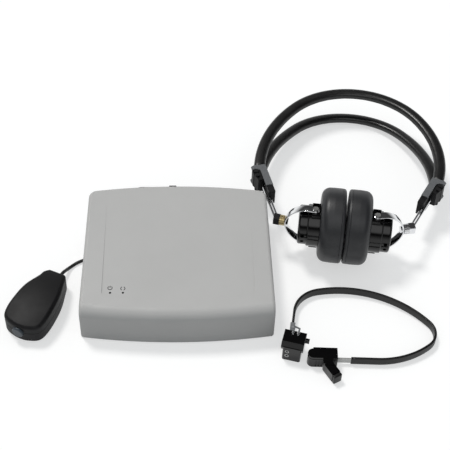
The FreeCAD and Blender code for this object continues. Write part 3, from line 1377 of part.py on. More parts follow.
def build_bone():
    """All nodes of the bone-conduction headband."""
    thick, tall = BONE_STRIP
    sleeve_t, sleeve_h = BONE_SLEEVE
    strip = bone_strip(thick, tall, STRIP_Z, 0.0, 0.0)
    sleeve = bone_strip(sleeve_t, sleeve_h, STRIP_Z + tall / 2 - sleeve_h / 2, BONE_BARE[0], BONE_BARE[1])
    save("bone_band_sleeve", sleeve.cut(strip))
    save("bone_band_spring", strip)
    place = vibrator_place()
    save("vibrator_case", vibrator_case(), place)
    save("pin_sockets", pin_sockets(), place)
    save("vibrator_motor", vibrator_motor(), place)
    save("vibrator_holder", vibrator_holder(), place)
    save("holder_bail", holder_bail(strip))
    save_rest(strip)


def holder_bail(strip):
    """Wire bail from the strip's end up to the holder: two side wires and their clip."""
    place = vibrator_place()
    _, end, way = bone_wire(STRIP_Z + BONE_STRIP[1] / 2, 0.0, 0.0)
    y, z = bail_axis()
    half = BAIL_GAP / 2
    beside = BONE_STRIP[0] / 2 + BAIL_R
    wires = []
    side = way.cross(Z_AXIS)
    for s in (-1, 1):
        low = end - way * 1.0 - side * (s * beside) + V(0, 0, 1.5)
        high = place.multVec(V(s * half, y, z))
        knee = place.multVec(V(s * half, y + 9.0, z - 0.5))
        wires.append(rod(BAIL_R, low, knee))
        wires.append(rod(BAIL_R, knee, high))
        wires.append(Part.makeSphere(BAIL_R, knee))
        wires.append(Part.makeSphere(BAIL_R, high))
    clip = box(-3.5, 1.5, -beside - 1.2, beside + 1.2, STRIP_Z - 0.6, STRIP_Z + BONE_STRIP[1] + 0.6)
    clip = put(clip, FreeCAD.Placement(V(end.x, end.y, 0), FreeCAD.Rotation(X_AXIS, way)))
    whole = put(bail_bars(BAIL_R), place)
    for wire in wires:
        whole = whole.fuse(wire)
    return whole.fuse(clip).cut(strip)


def rest_place():
    """Placement of the rest block: x along the strip from its left end."""
    way = math.radians(BONE_HEADING)
    back = REST_FROM - BONE_START[0]
    at = V(BONE_START[0] + back * math.cos(way), BONE_START[1] + back * math.sin(way), 0)
    return FreeCAD.Placement(at, FreeCAD.Rotation(Z_AXIS, BONE_HEADING))


def save_rest(strip):
    """Rest block, its arm, pad and pin."""
    place = rest_place()
    length, deep, tall = REST_BLOCK
    r = deep / 2
    body = box(r, length, -r, r, 0.3, tall).fuse(Part.makeCylinder(r, tall - 0.3, V(r, 0, 0.3)))
    lid_z = tall + REST_SLIT
    lid = box(r, length, -r, r + 1.5, lid_z, lid_z + REST_TOP_T)
    lid = lid.fuse(Part.makeCylinder(r, REST_TOP_T, V(r, 0, lid_z)))
    spine = box(2.0, length - 1.0, r - 2.6, r, tall - 1, lid_z + 1)
    body = body.fuse(lid).fuse(spine)
    for x in (7.6, 10.4, 13.2):
        body = body.cut(box(x, x + 0.9, -r - 1, -r + 0.8, 1.5, tall - 1.2))
    # Slot for the strip, open at both ends so that the block can slide.
    thick, high = BONE_STRIP
    slot = box(-1.0, length + 1, -thick / 2 - RUN_GAP, thick / 2 + RUN_GAP, STRIP_Z - RUN_GAP,
               STRIP_Z + high + RUN_GAP)
    body = body.cut(slot)
    # The arm turns on a pin, in a recess in front of the strip.
    px, py = ARM_PIN_AT
    body = put(body, place)
    pin_at = place.multVec(V(px, -r - py, 0))
    save_arm(body, pin_at)


def save_arm(body, pin_at):
    """Arm beside the block's front face, the block's two ears for its pin, and the pad."""
    length, wide, high = ARM
    z0, z1 = 0.8, 0.8 + high
    ear_t = 2.0
    tall = REST_BLOCK[2]
    way = FreeCAD.Placement(pin_at, FreeCAD.Rotation(Z_AXIS, ARM_TURN))
    arm = box(0, length - PAD_T, -wide / 2, wide / 2, z0, z1)
    arm = arm.fuse(Part.makeCylinder(wide / 2, high, V(0, 0, z0)))
    arm = arm.cut(Part.makeCylinder(ARM_PIN_R + RUN_GAP, 3 * high, V(0, 0, -high)))
    pad = box(length - PAD_T, length, -wide / 2, wide / 2, z0 - 0.5, z1)
    head = FreeCAD.Placement(pin_at, FreeCAD.Rotation(Z_AXIS, BONE_HEADING))
    room = Part.makeCylinder(wide / 2 + 0.35, z1 + 0.3, V(0, 0, 0))
    body = body.cut(put(room, head))
    over = box(-wide / 2, wide / 2, -wide / 2 + 1.5, wide / 2 + 5.0, z1 + 0.3, z1 + 0.3 + ear_t)
    body = body.fuse(put(over, head))
    pin = Part.makeCylinder(ARM_PIN_R, z1 + 0.3 + ear_t - z0, V(0, 0, z0))
    body = body.cut(put(pin, head))
    save("rest_block", body)
    save("rest_arm", put(arm, way))
    save("rest_pad", put(pad, way))
    save("arm_pin", put(pin, head))


# ---------------------------------------------------------------- build

build_case()
build_switch()
build_headset()
build_bone()
for name, count, valid, volume in BUILT:
    print("%-22s %2d solids  valid %s  %10.1f mm3" % (name, count, valid, volume))
print("%d nodes" % len(BUILT))
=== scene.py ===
# Audiometer set: a desktop case, a hand-held response switch on its cord, a headset with two
# padded bands lying on its side, and a bone-conduction headband. The model's parts come from the
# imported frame. This script adds the soft parts, the cord, small details and the finishes.
# Places are in millimetres from the case's centre on the table, y away from the front, z up.

import json
import math

import bmesh
import bpy
import numpy as np
from mathutils import Matrix


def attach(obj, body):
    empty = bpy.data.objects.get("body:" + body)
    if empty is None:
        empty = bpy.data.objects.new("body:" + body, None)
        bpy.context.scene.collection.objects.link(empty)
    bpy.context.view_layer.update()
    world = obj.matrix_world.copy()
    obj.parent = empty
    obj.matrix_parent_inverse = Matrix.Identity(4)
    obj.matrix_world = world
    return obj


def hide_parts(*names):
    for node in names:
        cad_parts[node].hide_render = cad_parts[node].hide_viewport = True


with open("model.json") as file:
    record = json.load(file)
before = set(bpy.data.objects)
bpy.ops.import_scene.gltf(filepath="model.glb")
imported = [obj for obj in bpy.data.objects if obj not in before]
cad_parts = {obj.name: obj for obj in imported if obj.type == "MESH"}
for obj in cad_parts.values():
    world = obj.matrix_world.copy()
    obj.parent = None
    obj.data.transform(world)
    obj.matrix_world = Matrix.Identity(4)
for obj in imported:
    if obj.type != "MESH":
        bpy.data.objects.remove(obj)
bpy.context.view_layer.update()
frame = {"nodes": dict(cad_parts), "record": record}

MM = 0.001
SET_CENTRE = np.array([62.0, 56.0, 0.0])  # middle of the whole set, which stands at the origin
SEED = 20                                 # every random draw starts from it


# ---------------------------------------------------------------- places

def turn(axis, degrees):
    """Rotation by an angle about a coordinate axis, as a 4x4 matrix."""
    return np.array(Matrix.Rotation(math.radians(degrees), 4, axis))


def shift(x, y, z):
    """Translation, as a 4x4 matrix."""
    place = np.eye(4)
    place[:3, 3] = (x, y, z)
    return place


def put(place, points):
    """Points carried to a place: rotation times point, plus the place's origin."""
    return points @ place[:3, :3].T + place[:3, 3]


def unit(vectors):
    """Vectors divided by their lengths."""
    return vectors / np.linalg.norm(vectors, axis=-1, keepdims=True)


# ---------------------------------------------------------------- meshes

def surface(name, grid, loop=False):
    """Mesh over a grid of points in millimetres: rows along the piece, columns round it.

    Each cell of the grid is one four-sided face. The ends are closed with a face each, or with
    loop the last row joins the first. Faces are turned outwards by the sign of the volume.
    """
    rows, cols = grid.shape[:2]
    i, j = np.meshgrid(np.arange(rows if loop else rows - 1), np.arange(cols), indexing="ij")
    up, on = (i + 1) % rows, (j + 1) % cols
    quads = np.stack([i * cols + j, i * cols + on, up * cols + on, up * cols + j], -1).reshape(-1, 4)
    faces = quads.tolist()
    if not loop:
        faces += [list(range(cols))[::-1], list(range((rows - 1) * cols, rows * cols))]
    mesh = bpy.data.meshes.new(name)
    mesh.from_pydata((grid.reshape(-1, 3) - SET_CENTRE) * MM, [], faces)
    shell = bmesh.new()
    shell.from_mesh(mesh)
    if shell.calc_volume(signed=True) < 0:
        bmesh.ops.reverse_faces(shell, faces=shell.faces)
    shell.to_mesh(mesh)
    shell.free()
    mesh.shade_smooth()
    piece = bpy.data.objects.new(name, mesh)
    bpy.context.scene.collection.objects.link(piece)
    return piece


def rounded(corners, steps=8):
    """Closed outline with round corners, each entry (x, y, radius), as an array of points.

    A corner's arc starts and ends where a circle of that radius touches both sides. The arc is
    (1-t)^2 a + 2wt(1-t) corner + t^2 b over the sum of its weights, which is a circle when w is
    the sine of half the angle between the two sides.
    """
    corners = np.array(corners, float)
    at, radius = corners[:, :2], corners[:, 2:]
    back, ahead = unit(np.roll(at, 1, 0) - at), unit(np.roll(at, -1, 0) - at)
    half = np.arccos(np.clip((back * ahead).sum(1, keepdims=True), -1, 1)) / 2
    reach = radius / np.tan(half)
    t = np.linspace(0, 1, steps)[None, :, None]
    a, b = (at + back * reach)[:, None], (at + ahead * reach)[:, None]
    w = np.sin(half)[:, None]
    top = (1 - t) ** 2 * a + 2 * w * t * (1 - t) * at[:, None] + t ** 2 * b
    return (top / ((1 - t) ** 2 + 2 * w * t * (1 - t) + t ** 2)).reshape(-1, 2)


def bar_outline(thick, wide, radius, steps):
    """Outline of a flat bar with round corners, centred, the thickness first."""
    x, y = thick / 2, wide / 2
    return rounded([(-x, -y, radius), (x, -y, radius), (x, y, radius), (-x, y, radius)], steps)


def turned(name, profile, place, steps=64, waves=None):
    """Solid of revolution: a closed profile of (along, radius) points turned about the x axis.

    waves adds a radial change that depends on the angle and on the place in the profile.
    """
    angle = np.linspace(0, 2 * math.pi, steps, endpoint=False)[:, None]
    along, radius = profile[None, :, 0], profile[None, :, 1]
    if waves is not None:
        radius = radius + waves(angle, along)
    x = np.broadcast_to(along, (steps, len(profile)))
    grid = np.stack([x, radius * np.cos(angle) + 0 * x, radius * np.sin(angle) + 0 * x], -1)
    return surface(name, put(place, grid), loop=True)


def swept(name, centre, out, up, section):
    """Bar along a path: each section point (u, v) stands at centre + u*out + v*up.

    section is one outline, or one outline per path point.
    """
    section = np.broadcast_to(section, (len(centre),) + section.shape[-2:])
    grid = centre[:, None] + section[..., :1] * out[:, None] + section[..., 1:] * up[:, None]
    return surface(name, grid)


def block(name, place, size, radius):
    """Rounded block: a ball's directions pushed outwards by half the size less the radius.

    Point = sign(direction) * (half size - radius) + radius * direction, on a grid of angles that
    stops just short of the poles.
    """
    rows, cols, short = 24, 48, 0.02
    lat = np.linspace(-math.pi / 2 + short, math.pi / 2 - short, rows)[:, None]
    lon = np.linspace(0, 2 * math.pi, cols, endpoint=False)[None, :] + math.pi / cols
    way = np.stack([np.cos(lat) * np.cos(lon), np.cos(lat) * np.sin(lon), np.sin(lat) + 0 * lon], -1)
    inner = np.array(size) / 2 - radius
    return surface(name, put(place, np.sign(way) * inner + radius * way))


# ---------------------------------------------------------------- finishes

# Sockets that a node tells apart only by number: a mix's share, its two numbers, its two colours
# and its mixed colour, then a map range's value and ranges.
SHARE, NUMBER_A, NUMBER_B, COLOUR_A, COLOUR_B, MIXED_COLOUR = 0, 2, 3, 6, 7, 2
VALUE, FROM_LOW, FROM_HIGH, TO_LOW, TO_HIGH = range(5)
FINE_SHARE = 0.35                         # share of the fine grain in a finish's unevenness


def linear(colour):
    """sRGB hex to linear: a channel c becomes ((c + 0.055) / 1.055) ^ 2.4, or c / 12.92 if low."""
    channels = np.array([int(colour[k:k + 2], 16) for k in (1, 3, 5)]) / 255
    low = channels <= 0.04045
    return (*np.where(low, channels / 12.92, ((channels + 0.055) / 1.055) ** 2.4), 1.0)


def add(tree, kind, settings=None, sockets=None):
    """Adds a node, with its settings by attribute and its inputs by socket name or number."""
    node = tree.nodes.new(kind)
    for key, value in (settings or {}).items():
        setattr(node, key, value)
    for key, value in (sockets or {}).items():
        if isinstance(value, bpy.types.NodeSocket):
            tree.links.new(value, node.inputs[key])
        else:
            node.inputs[key].default_value = value
    return node


def finish(name, base, second, rough, spread, grain, depth, metallic=0.0, ior=1.5, stretch=(1, 1, 1),
           mottle=14.0, **plain):
    """Material with a mottled colour, a roughness that varies with it, and a fine relief.

    grain and mottle are sizes in millimetres and depth is the relief's height in millimetres.
    stretch draws the grain out along an axis, as brushing does.
    """
    material = bpy.data.materials.new(name)
    material.use_nodes = True
    tree = material.node_tree
    shader = tree.nodes["Principled BSDF"]
    coords = add(tree, "ShaderNodeTexCoord")
    drawn = add(tree, "ShaderNodeMapping", None, {"Vector": coords.outputs["Object"], "Scale": stretch})
    patches = add(tree, "ShaderNodeTexNoise", None,
                  {"Vector": coords.outputs["Object"], "Scale": 1 / (mottle * MM), "Detail": 4.0,
                   "Roughness": 0.6})
    fine = add(tree, "ShaderNodeTexNoise", None,
               {"Vector": drawn.outputs[0], "Scale": 1 / (grain * MM), "Detail": 3.0, "Roughness": 0.55})
    both = add(tree, "ShaderNodeMix", {"data_type": "FLOAT"},
               {SHARE: FINE_SHARE, NUMBER_A: patches.outputs[0], NUMBER_B: fine.outputs[0]})
    share = add(tree, "ShaderNodeMapRange", None, {VALUE: both.outputs[0], FROM_LOW: 0.35, FROM_HIGH: 0.65})
    colour = add(tree, "ShaderNodeMix", {"data_type": "RGBA"},
                 {SHARE: share.outputs[0], COLOUR_A: linear(base), COLOUR_B: linear(second)})
    gloss = add(tree, "ShaderNodeMapRange", None,
                {VALUE: both.outputs[0], FROM_LOW: 0.3, FROM_HIGH: 0.7,
                 TO_LOW: rough - spread, TO_HIGH: rough + spread})
    relief = add(tree, "ShaderNodeBump", None,
                 {"Height": fine.outputs[0], "Distance": depth * MM, "Strength": 1.0})
    tree.links.new(colour.outputs[MIXED_COLOUR], shader.inputs["Base Color"])
    tree.links.new(gloss.outputs[0], shader.inputs["Roughness"])
    tree.links.new(relief.outputs[0], shader.inputs["Normal"])
    shader.inputs["Metallic"].default_value = metallic
    shader.inputs["IOR"].default_value = ior
    for socket, value in plain.items():
        shader.inputs[socket.replace("_", " ")].default_value = value
    return material


# What each finish gives the eye stands above it. Grains finer than about 0.9 mm don't show at
# this distance, so moulded textures are drawn that coarse.
FINISHES = {
    # Spark-eroded ABS: an even, slightly warm satin grey.
    "case_plastic": finish("abs_satin_grey", "#bbbab9", "#b7b6b5", 0.52, 0.05, 0.9, 0.012, ior=1.54,
                           mottle=60.0, Specular_IOR_Level=0.35),
    # Spark-eroded ABS, and ink of the same tone: dark grey without shine.
    "dark_plastic": finish("abs_matt_charcoal", "#2b2c2e", "#252628", 0.6, 0.06, 0.9, 0.02, ior=1.54,
                           Specular_IOR_Level=0.3),
    # Spark-eroded ABS handled often: matt with a soft broad sheen.
    "black_plastic": finish("abs_matt_black", "#131315", "#0f0f11", 0.52, 0.05, 0.9, 0.014, ior=1.54,
                            Specular_IOR_Level=0.2),
    # Polished ABS: near-black with crisp reflections.
    "gloss_black": finish("abs_polished_black", "#050506", "#070607", 0.13, 0.03, 2.5, 0.004, ior=1.54,
                          Specular_IOR_Level=0.35),
    # Moulded acetal: slate blue-grey with a waxy sheen.
    "button_plastic": finish("acetal_slate", "#3d444c", "#384048", 0.42, 0.05, 0.9, 0.012, ior=1.48),
    # Moulded rubber: near-black with a dull edge of light.
    "rubber": finish("rubber_black", "#0b0b0c", "#080809", 0.4, 0.05, 1.2, 0.006, ior=1.52,
                     Specular_IOR_Level=0.35),
    # Moulded natural rubber: charcoal, powdery, with a wide dull sheen.
    "cushion_rubber": finish("rubber_moulded_charcoal", "#28292c", "#202124", 0.43, 0.05, 1.6, 0.03,
                             ior=1.52, mottle=22.0, Specular_IOR_Level=0.45),
    # Calendered vinyl over foam: black with a soft line of light along it.
    "vinyl": finish("vinyl_black", "#080809", "#0c0c0d", 0.36, 0.04, 1.3, 0.006, ior=1.53),
    # Extruded soft PVC: black with a thin satin line along the cord.
    "cord_rubber": finish("pvc_cord_black", "#0e0e0f", "#121213", 0.42, 0.05, 1.2, 0.01, ior=1.53),
    # Glass-epoxy laminate under solder mask: dark green, satin.
    "board": finish("fr4_green", "#1d4a2c", "#163c24", 0.4, 0.06, 1.5, 0.01),
    # Moulded epoxy of chips: grey-black, dull and slightly coarse.
    "components": finish("epoxy_black", "#16171a", "#202226", 0.5, 0.08, 1.5, 0.02),
    # Moulded acrylic, unlit: a dark, clean gleam.
    "light_pipe": finish("acrylic_smoked", "#1c1d1e", "#161718", 0.2, 0.04, 2.0, 0.004, ior=1.49),
    # Cold-rolled steel, brushed along the strip.
    "steel": finish("steel_brushed", "#b9bab9", "#a3a4a3", 0.34, 0.08, 1.0, 0.01, metallic=1.0,
                    stretch=(0.15, 1, 1)),
    # Phosphated steel: dull mid grey.
    "grey_steel": finish("steel_phosphated", "#8a8c8e", "#74767a", 0.4, 0.07, 1.2, 0.015, metallic=0.6,
                         mottle=9.0),
    # Bright chromium plate: mirrors the room, with hardly any haze.
    "chrome": finish("chrome_plate", "#e6e7e8", "#dcdde0", 0.1, 0.04, 3.0, 0.004, metallic=1.0),
    # Turned brass: pale straw yellow with fine rings of the tool.
    "brass": finish("brass_turned", "#c4b48c", "#aa9a72", 0.26, 0.06, 1.0, 0.01, metallic=1.0,
                    stretch=(1, 0.15, 1)),
}

for row in frame["record"]["subparts"]:
    node = frame["nodes"][row["node"]]
    node.data.materials.clear()
    node.data.materials.append(FINISHES[row["material_slot"]])


def dress(piece, slot, body, *nodes):
    """Gives a piece its finish and its body, and hides the nodes that it stands for."""
    piece.data.materials.clear()
    piece.data.materials.append(FINISHES[slot])
    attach(piece, body)
    if nodes:
        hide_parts(*nodes)
    return piece


# ---------------------------------------------------------------- camera

CAMERA_AT = (8.48, -729.48, 888.73)
CAMERA_TURN, CAMERA_DOWN, CAMERA_ROLL = -2.9, 48.0, 2.0
LENS, SENSOR = 88.0, 36.0
IMAGE_WIDTH, SHIFT_PIXELS = 450, 1.8
VIEW_END = 20.0                           # metres, past the table's far edge


def set_camera():
    """Camera at a place, turned about the vertical, tilted down and rolled.

    Ahead = (-sin a cos e, cos a cos e, -sin e) for turn a and tilt e, and right = (cos a, sin a, 0).
    """
    a, e, r = [math.radians(angle) for angle in (CAMERA_TURN, CAMERA_DOWN, CAMERA_ROLL)]
    ahead = np.array([-math.sin(a) * math.cos(e), math.cos(a) * math.cos(e), -math.sin(e)])
    right = np.array([math.cos(a), math.sin(a), 0.0])
    above = np.cross(right, ahead)
    pose = np.eye(4)
    pose[:3, 0] = right * math.cos(r) + above * math.sin(r)
    pose[:3, 1] = above * math.cos(r) - right * math.sin(r)
    pose[:3, 2] = -ahead
    pose[:3, 3] = (np.array(CAMERA_AT) - SET_CENTRE) * MM
    camera = bpy.data.objects.new("camera", bpy.data.cameras.new("camera"))
    camera.matrix_world = Matrix(pose.tolist())
    camera.data.lens = LENS
    camera.data.sensor_width = SENSOR
    camera.data.shift_x = SHIFT_PIXELS / IMAGE_WIDTH
    camera.data.clip_end = VIEW_END
    bpy.context.scene.collection.objects.link(camera)
    bpy.context.scene.camera = camera


set_camera()


# ---------------------------------------------------------------- response cord

CORD_R = 1.8
GLAND_END = (-120.01, -5.87, 8.0)
CORD_OUT = [GLAND_END, (-118.55, -2.8, 8.0), (-116.3, 1.95, 5.4), (-112.6, 8.9, 1.9), (-104.0, 16.8, 1.9),
            (-91.5, 21.4, 1.9), (-79.0, 25.6, 1.9), (-66.8, 31.4, 1.9), (-57.6, 41.0, 1.9),
            (-52.2, 53.5, 1.9), (-52.7, 66.5, 1.9), (-51.8, 78.0, 1.9), (-47.8, 88.0, 1.9),
            (-38.5, 94.2, 1.9), (-27.0, 94.6, 1.9), (-19.5, 94.6, 1.9)]
CORD_BACK = [(7.0, 97.0, 12.6), (14.0, 95.6, 13.2), (20.0, 94.2, 13.4), (25.9, 93.6, 14.26),
             (31.46, 93.6, 16.51)]
HANK_AT, HANK_HALF = (-6.0, 105.4), 34.0  # middle of the hank, and half of its straight runs
COLUMNS, LAYERS = (10.8, 7.2), (1.8, 5.4, 9.0)
# Column and layer of each turn. A turn changes to the next one on the far run, each change a
# cord's length upstream of the one under it, so that no two turns cross.
TURNS = [(0, 0), (1, 0), (1, 1), (0, 1), (0, 2), (1, 2)]
FRONT_AT = (-28.0, -6.0, 16.0)            # points on a near run, and on a far run
REAR_AT = (26.0, 14.0, 2.0, -10.0, -22.0, -34.0)
LAST_RUN = [(-28.0, 0.0), (-12.0, 0.0), (-1.0, 0.6)]  # the last near run's points, and their rise
FOLD_STEP = 45.0                          # degrees between two points of a fold
FOLD_ANGLES = np.radians(FOLD_STEP * np.array([-1.5, -0.5, 0.5, 1.5]))


def fold(end, r, z):
    """A fold's four points at one end of the hank, where end is 1 on the right and -1 on the left.

    They stand at the radius over the cosine of half the angle between them, so that the spline
    touches the fold's own circle between them.
    """
    x0, y0 = HANK_AT
    wide = r / math.cos(math.radians(FOLD_STEP / 2))
    return [(x0 + end * (HANK_HALF + wide * math.cos(t)), y0 + end * wide * math.sin(t), z)
            for t in FOLD_ANGLES]


def hank_points():
    """The hank's turns as points of the cord's spline: near run, fold, far run, fold."""
    points = []
    y0 = HANK_AT[1]
    for k, (column, layer) in enumerate(TURNS):
        r, z = COLUMNS[column], LAYERS[layer]
        if k == len(TURNS) - 1:
            return points + [(x, y0 - r, z + rise) for x, rise in LAST_RUN]
        points += [(x, y0 - r, z) for x in (FRONT_AT[1:] if k == 0 else FRONT_AT)]
        points += fold(1, r, z)
        for n, x in enumerate(REAR_AT):
            if n == len(REAR_AT) - 1 - k:
                r, z = COLUMNS[TURNS[k + 1][0]], LAYERS[TURNS[k + 1][1]]
            points.append((x, y0 + r, z))
        points += fold(-1, r, z)


def cord_curve():
    """The cord as one open spline through its control points."""
    curve = bpy.data.curves.new("switch_cord", "CURVE")
    curve.dimensions = "3D"
    spline = curve.splines.new("NURBS")
    points = (np.array(CORD_OUT + hank_points() + CORD_BACK) - SET_CENTRE) * MM
    spline.points.add(len(points) - 1)
    spline.points.foreach_set("co", np.c_[points, np.ones(len(points))].ravel())
    spline.order_u = 3
    spline.use_endpoint_u = True
    spline.resolution_u = 6
    curve.bevel_depth = CORD_R * MM
    curve.bevel_resolution = 4
    curve.use_fill_caps = True
    cord = bpy.data.objects.new("switch_cord", curve)
    bpy.context.scene.collection.objects.link(cord)
    return cord


def spline_length(cord):
    """Length of the cord's own line in metres, read from it without its thickness."""
    bare = cord.data.copy()
    bare.bevel_depth = 0.0
    line = bpy.data.objects.new("line", bare)
    bpy.context.scene.collection.objects.link(line)
    bpy.context.view_layer.update()
    mesh = bpy.data.meshes.new_from_object(line)
    co = np.empty(len(mesh.vertices) * 3)
    mesh.vertices.foreach_get("co", co)
    bpy.data.objects.remove(line)
    return float(np.linalg.norm(np.diff(co.reshape(-1, 3), axis=0), axis=1).sum())


cord = dress(cord_curve(), "cord_rubber", "case_and_switch", "response_cord", "cord_hank")
print("cord spline %.4f m" % spline_length(cord))


# ---------------------------------------------------------------- headset

SIDES = ("left", "right")
SIGN = {"left": -1, "right": 1}
MIRROR = np.diag([-1.0, 1.0, 1.0, 1.0])

HEADSET_AT, HEADSET_YAW, HEADSET_LIFT = (173.0, 31.5), -4.6, 0.35
CUSHION_R, CUSHION_T, CUSHION_HALF_GAP, CUSHION_TOE, CUSHION_HOLE = 39.25, 25.2, 0.95, 1.0, 11.0
CUSHION_JOINT = (3.4, 4.0, 0.5)           # mould's groove: from and to along the axis, and depth
EAR_CASE_R, SEAT_IN, SEAT_DEPTH, SEAT_GAP = 22.0, 2.5, 12.0, 0.05
PIVOT_X, PIVOT_DROP, EAR_ROLL, EAR_TURN = 31.6, 4.2, 6.0, 3.7

SLEEVE, SLEEVE_OVAL = (12.6, 8.6), 2.7    # section of a padded band, and its exponent
BAND_Z, BAND_PEAK_Z, BAND_CLAMP_Y = 5.2, 16.0, 76.0
BANDS = {
    "upper": (88.0, (14.9, 213.6), -0.7, {"left": (155.0, 49.6, 91.0), "right": (122.0, 55.6, 97.5)}),
    "lower": (77.0, (6.9, 208.3), 2.7, {"left": (180.0, 47.3, 86.5), "right": (144.0, 53.9, 97.5)}),
}
PUCKER, PUCKER_WAVES = 0.018, (0.55, 0.41, 0.27, 0.13)  # share of the section, and radians per mm
END_DRAW, END_DRAW_FROM, END_TRIM_FROM = 0.16, 1.1, 14.0

FORK_LEAN = {"left": 11.0, "right": 13.2}
FORK_Z, FORK_REACH, FORK_W, FORK_T, FORK_EYE, FORK_TAB = 25.5, 30.0, 8.4, 1.4, 4.2, 6.0
FORK_OVAL, FORK_EDGE = 1.85, 0.35         # the bow's exponent, and the rounding of the edges
SIDE_GAP, NUT_T, BLOCK_HALF = 0.15, 5.4, 3.2
SWIVEL_REACH = FORK_REACH + FORK_T / 2 + SIDE_GAP + NUT_T + BLOCK_HALF

ROD_LEAN = {"left": 16.0, "right": 25.6}
ROD_SHOWN = {"left": 33.5, "right": 33.0}
ROD_START, PLATE_TO, PLATE_GAP = -1.8, 45.0, 0.5
CLAMP_ANGLES = (0.6, 1.9)                 # the bands' ends lie between these, in radians from the top


def headset_place():
    """Place of the headset: turned on the table, and leaning on its cushions and lower band."""
    drop, far = BAND_PEAK_Z + SLEEVE[1] / 2, BANDS["lower"][1][1]
    slope = math.asin(CUSHION_R / math.hypot(far, drop)) - math.atan2(drop, far)
    place = shift(*HEADSET_AT, CUSHION_R + HEADSET_LIFT)
    return place @ turn("Z", HEADSET_YAW) @ turn("X", -math.degrees(slope))


def side_place(side):
    """Frame of one side of the headset, drawn for the right side and mirrored for the left."""
    return headset_place() if side == "right" else headset_place() @ MIRROR


def ear_turn(side):
    """Turn of one side's earphone in the headset's plane, in that side's frame."""
    return -EAR_TURN * SIGN[side]


def pivot(side, angle):
    """Place on one earphone's pivot in its side's frame, turned by an angle in the headset's plane."""
    along = put(turn("Z", ear_turn(side)), np.array([PIVOT_X, 0, 0]))
    down = put(turn("X", EAR_ROLL), np.array([0, -PIVOT_DROP, 0]))
    return shift(*(along + down)) @ turn("X", EAR_ROLL) @ turn("Z", angle)


def cushion_profile():
    """Section of a cushion: flat face, tight front edge, groove of the mould's joint, full rear edge."""
    face = CUSHION_HALF_GAP - PIVOT_X
    back = face + CUSHION_T
    seat = EAR_CASE_R - SEAT_IN
    hole = CUSHION_HOLE + 0.1
    r = CUSHION_R
    groove_from, groove_to, groove_depth = CUSHION_JOINT
    middle = (groove_from + groove_to) / 2
    return rounded([(face + 0.25, hole, 2.6), (face, r * 0.55, 3.0), (face + 0.1, r - 0.5, 2.6),
                    (face + groove_from, r, 0.3), (face + middle, r - groove_depth, 0.12),
                    (face + groove_to, r, 0.3), (face + 12.0, r, 4.0),
                    (back, r - 0.7, 8.6), (back - 0.1, seat + 4.0, 2.0), (back - 0.6, seat + SEAT_GAP, 0.5),
                    (back - SEAT_DEPTH, seat + SEAT_GAP, 0.3), (back - SEAT_DEPTH, hole, 0.6)], steps=9)


def soft_waves(angle, along):
    """Small unevenness of soft rubber: -0.1 + 0.06 sin(3 a + 0.11 x) + 0.05 sin(7 a - 0.2 x) mm."""
    return -0.1 + 0.06 * np.sin(3 * angle + 0.11 * along) + 0.05 * np.sin(7 * angle - 0.2 * along)


def ear_cushion(side):
    """Ring of soft moulded rubber, turned about the earphone's own axis."""
    place = side_place(side) @ pivot(side, ear_turn(side) - CUSHION_TOE) @ shift(0, PIVOT_DROP, 0)
    cushion = turned("%s_cushion_rubber" % side, cushion_profile(), place, 160, soft_waves)
    dress(cushion, "cushion_rubber", "%s_earphone" % side, "%s_ear_cushion" % side)


for side in SIDES:
    ear_cushion(side)


def clamp_plane(side):
    """A point on the upper end of a clamp and the direction of its rods, in the headset's frame."""
    lean = math.radians(ROD_LEAN[side])
    swivel = put(pivot(side, FORK_LEAN[side]), np.array([SWIVEL_REACH, 0, 0]))
    way = np.array([math.sin(lean), math.cos(lean), 0])
    across = np.array([math.cos(lean), -math.sin(lean), 0])
    point = swivel + way * (ROD_SHOWN[side] + PLATE_TO + PLATE_GAP) + across * ROD_START
    mirror = (SIGN[side], 1, 1)
    return point * mirror, way * mirror


def band_frame(which, angle):
    """Centre line, outward direction and travel of a band at signed angles from its top.

    The line is an arc of the top radius up to the side's angle, then an arc of the side's radius
    about a centre that keeps the two tangent. The band's plane is then fanned out.
    """
    r_top, peak, lean, sides = BANDS[which]
    sign = np.where(angle < 0, -1.0, 1.0)
    size = np.abs(angle)
    r_side = np.where(angle < 0, sides["left"][0], sides["right"][0])
    top_half = np.radians(np.where(angle < 0, sides["left"][1], sides["right"][1]))
    offset = np.where(size > top_half, r_side - r_top, 0.0)
    radius = r_top + offset
    x = sign * (radius * np.sin(size) - offset * np.sin(top_half))
    y = -r_top - offset * np.cos(top_half) + radius * np.cos(size)
    out = np.stack([sign * np.sin(size), np.cos(size), 0 * size], -1)
    way = np.stack([np.cos(size), -sign * np.sin(size), 0 * size], -1)
    fan_sign = 1 if which == "upper" else -1
    slope = fan_sign * math.degrees(math.atan((BAND_PEAK_Z - BAND_Z) / (peak[1] - BAND_CLAMP_Y)))
    about = shift(0, BAND_CLAMP_Y, fan_sign * BAND_Z)
    place = about @ turn("X", slope) @ np.linalg.inv(about) @ shift(peak[0], peak[1], fan_sign * BAND_Z)
    place = place @ turn("Z", lean)
    spin = place[:3, :3].T
    return put(place, np.stack([x, y, 0 * x], -1)), out @ spin, way @ spin, place[:3, 2]


def angle_at_clamp(which, side):
    """Signed angle at which a band's centre line meets the clamp's upper end, by halving."""
    point, normal = clamp_plane(side)
    low, high = CLAMP_ANGLES
    for _ in range(40):
        mid = (low + high) / 2
        at = band_frame(which, np.array([SIGN[side] * mid]))[0][0]
        low, high = (mid, high) if (at - point) @ normal > 0 else (low, mid)
    return SIGN[side] * low


def band_section(steps=40):
    """Outline of a padded band: |u/a|^n + |v/b|^n = 1, flat enough to carry a line of light."""
    t = np.linspace(0, 2 * math.pi, steps, endpoint=False)
    u, v = [np.sign(k) * np.abs(k) ** (2 / SLEEVE_OVAL) for k in (np.cos(t), np.sin(t))]
    return np.stack([u * SLEEVE[0] / 2, v * SLEEVE[1] / 2], -1)


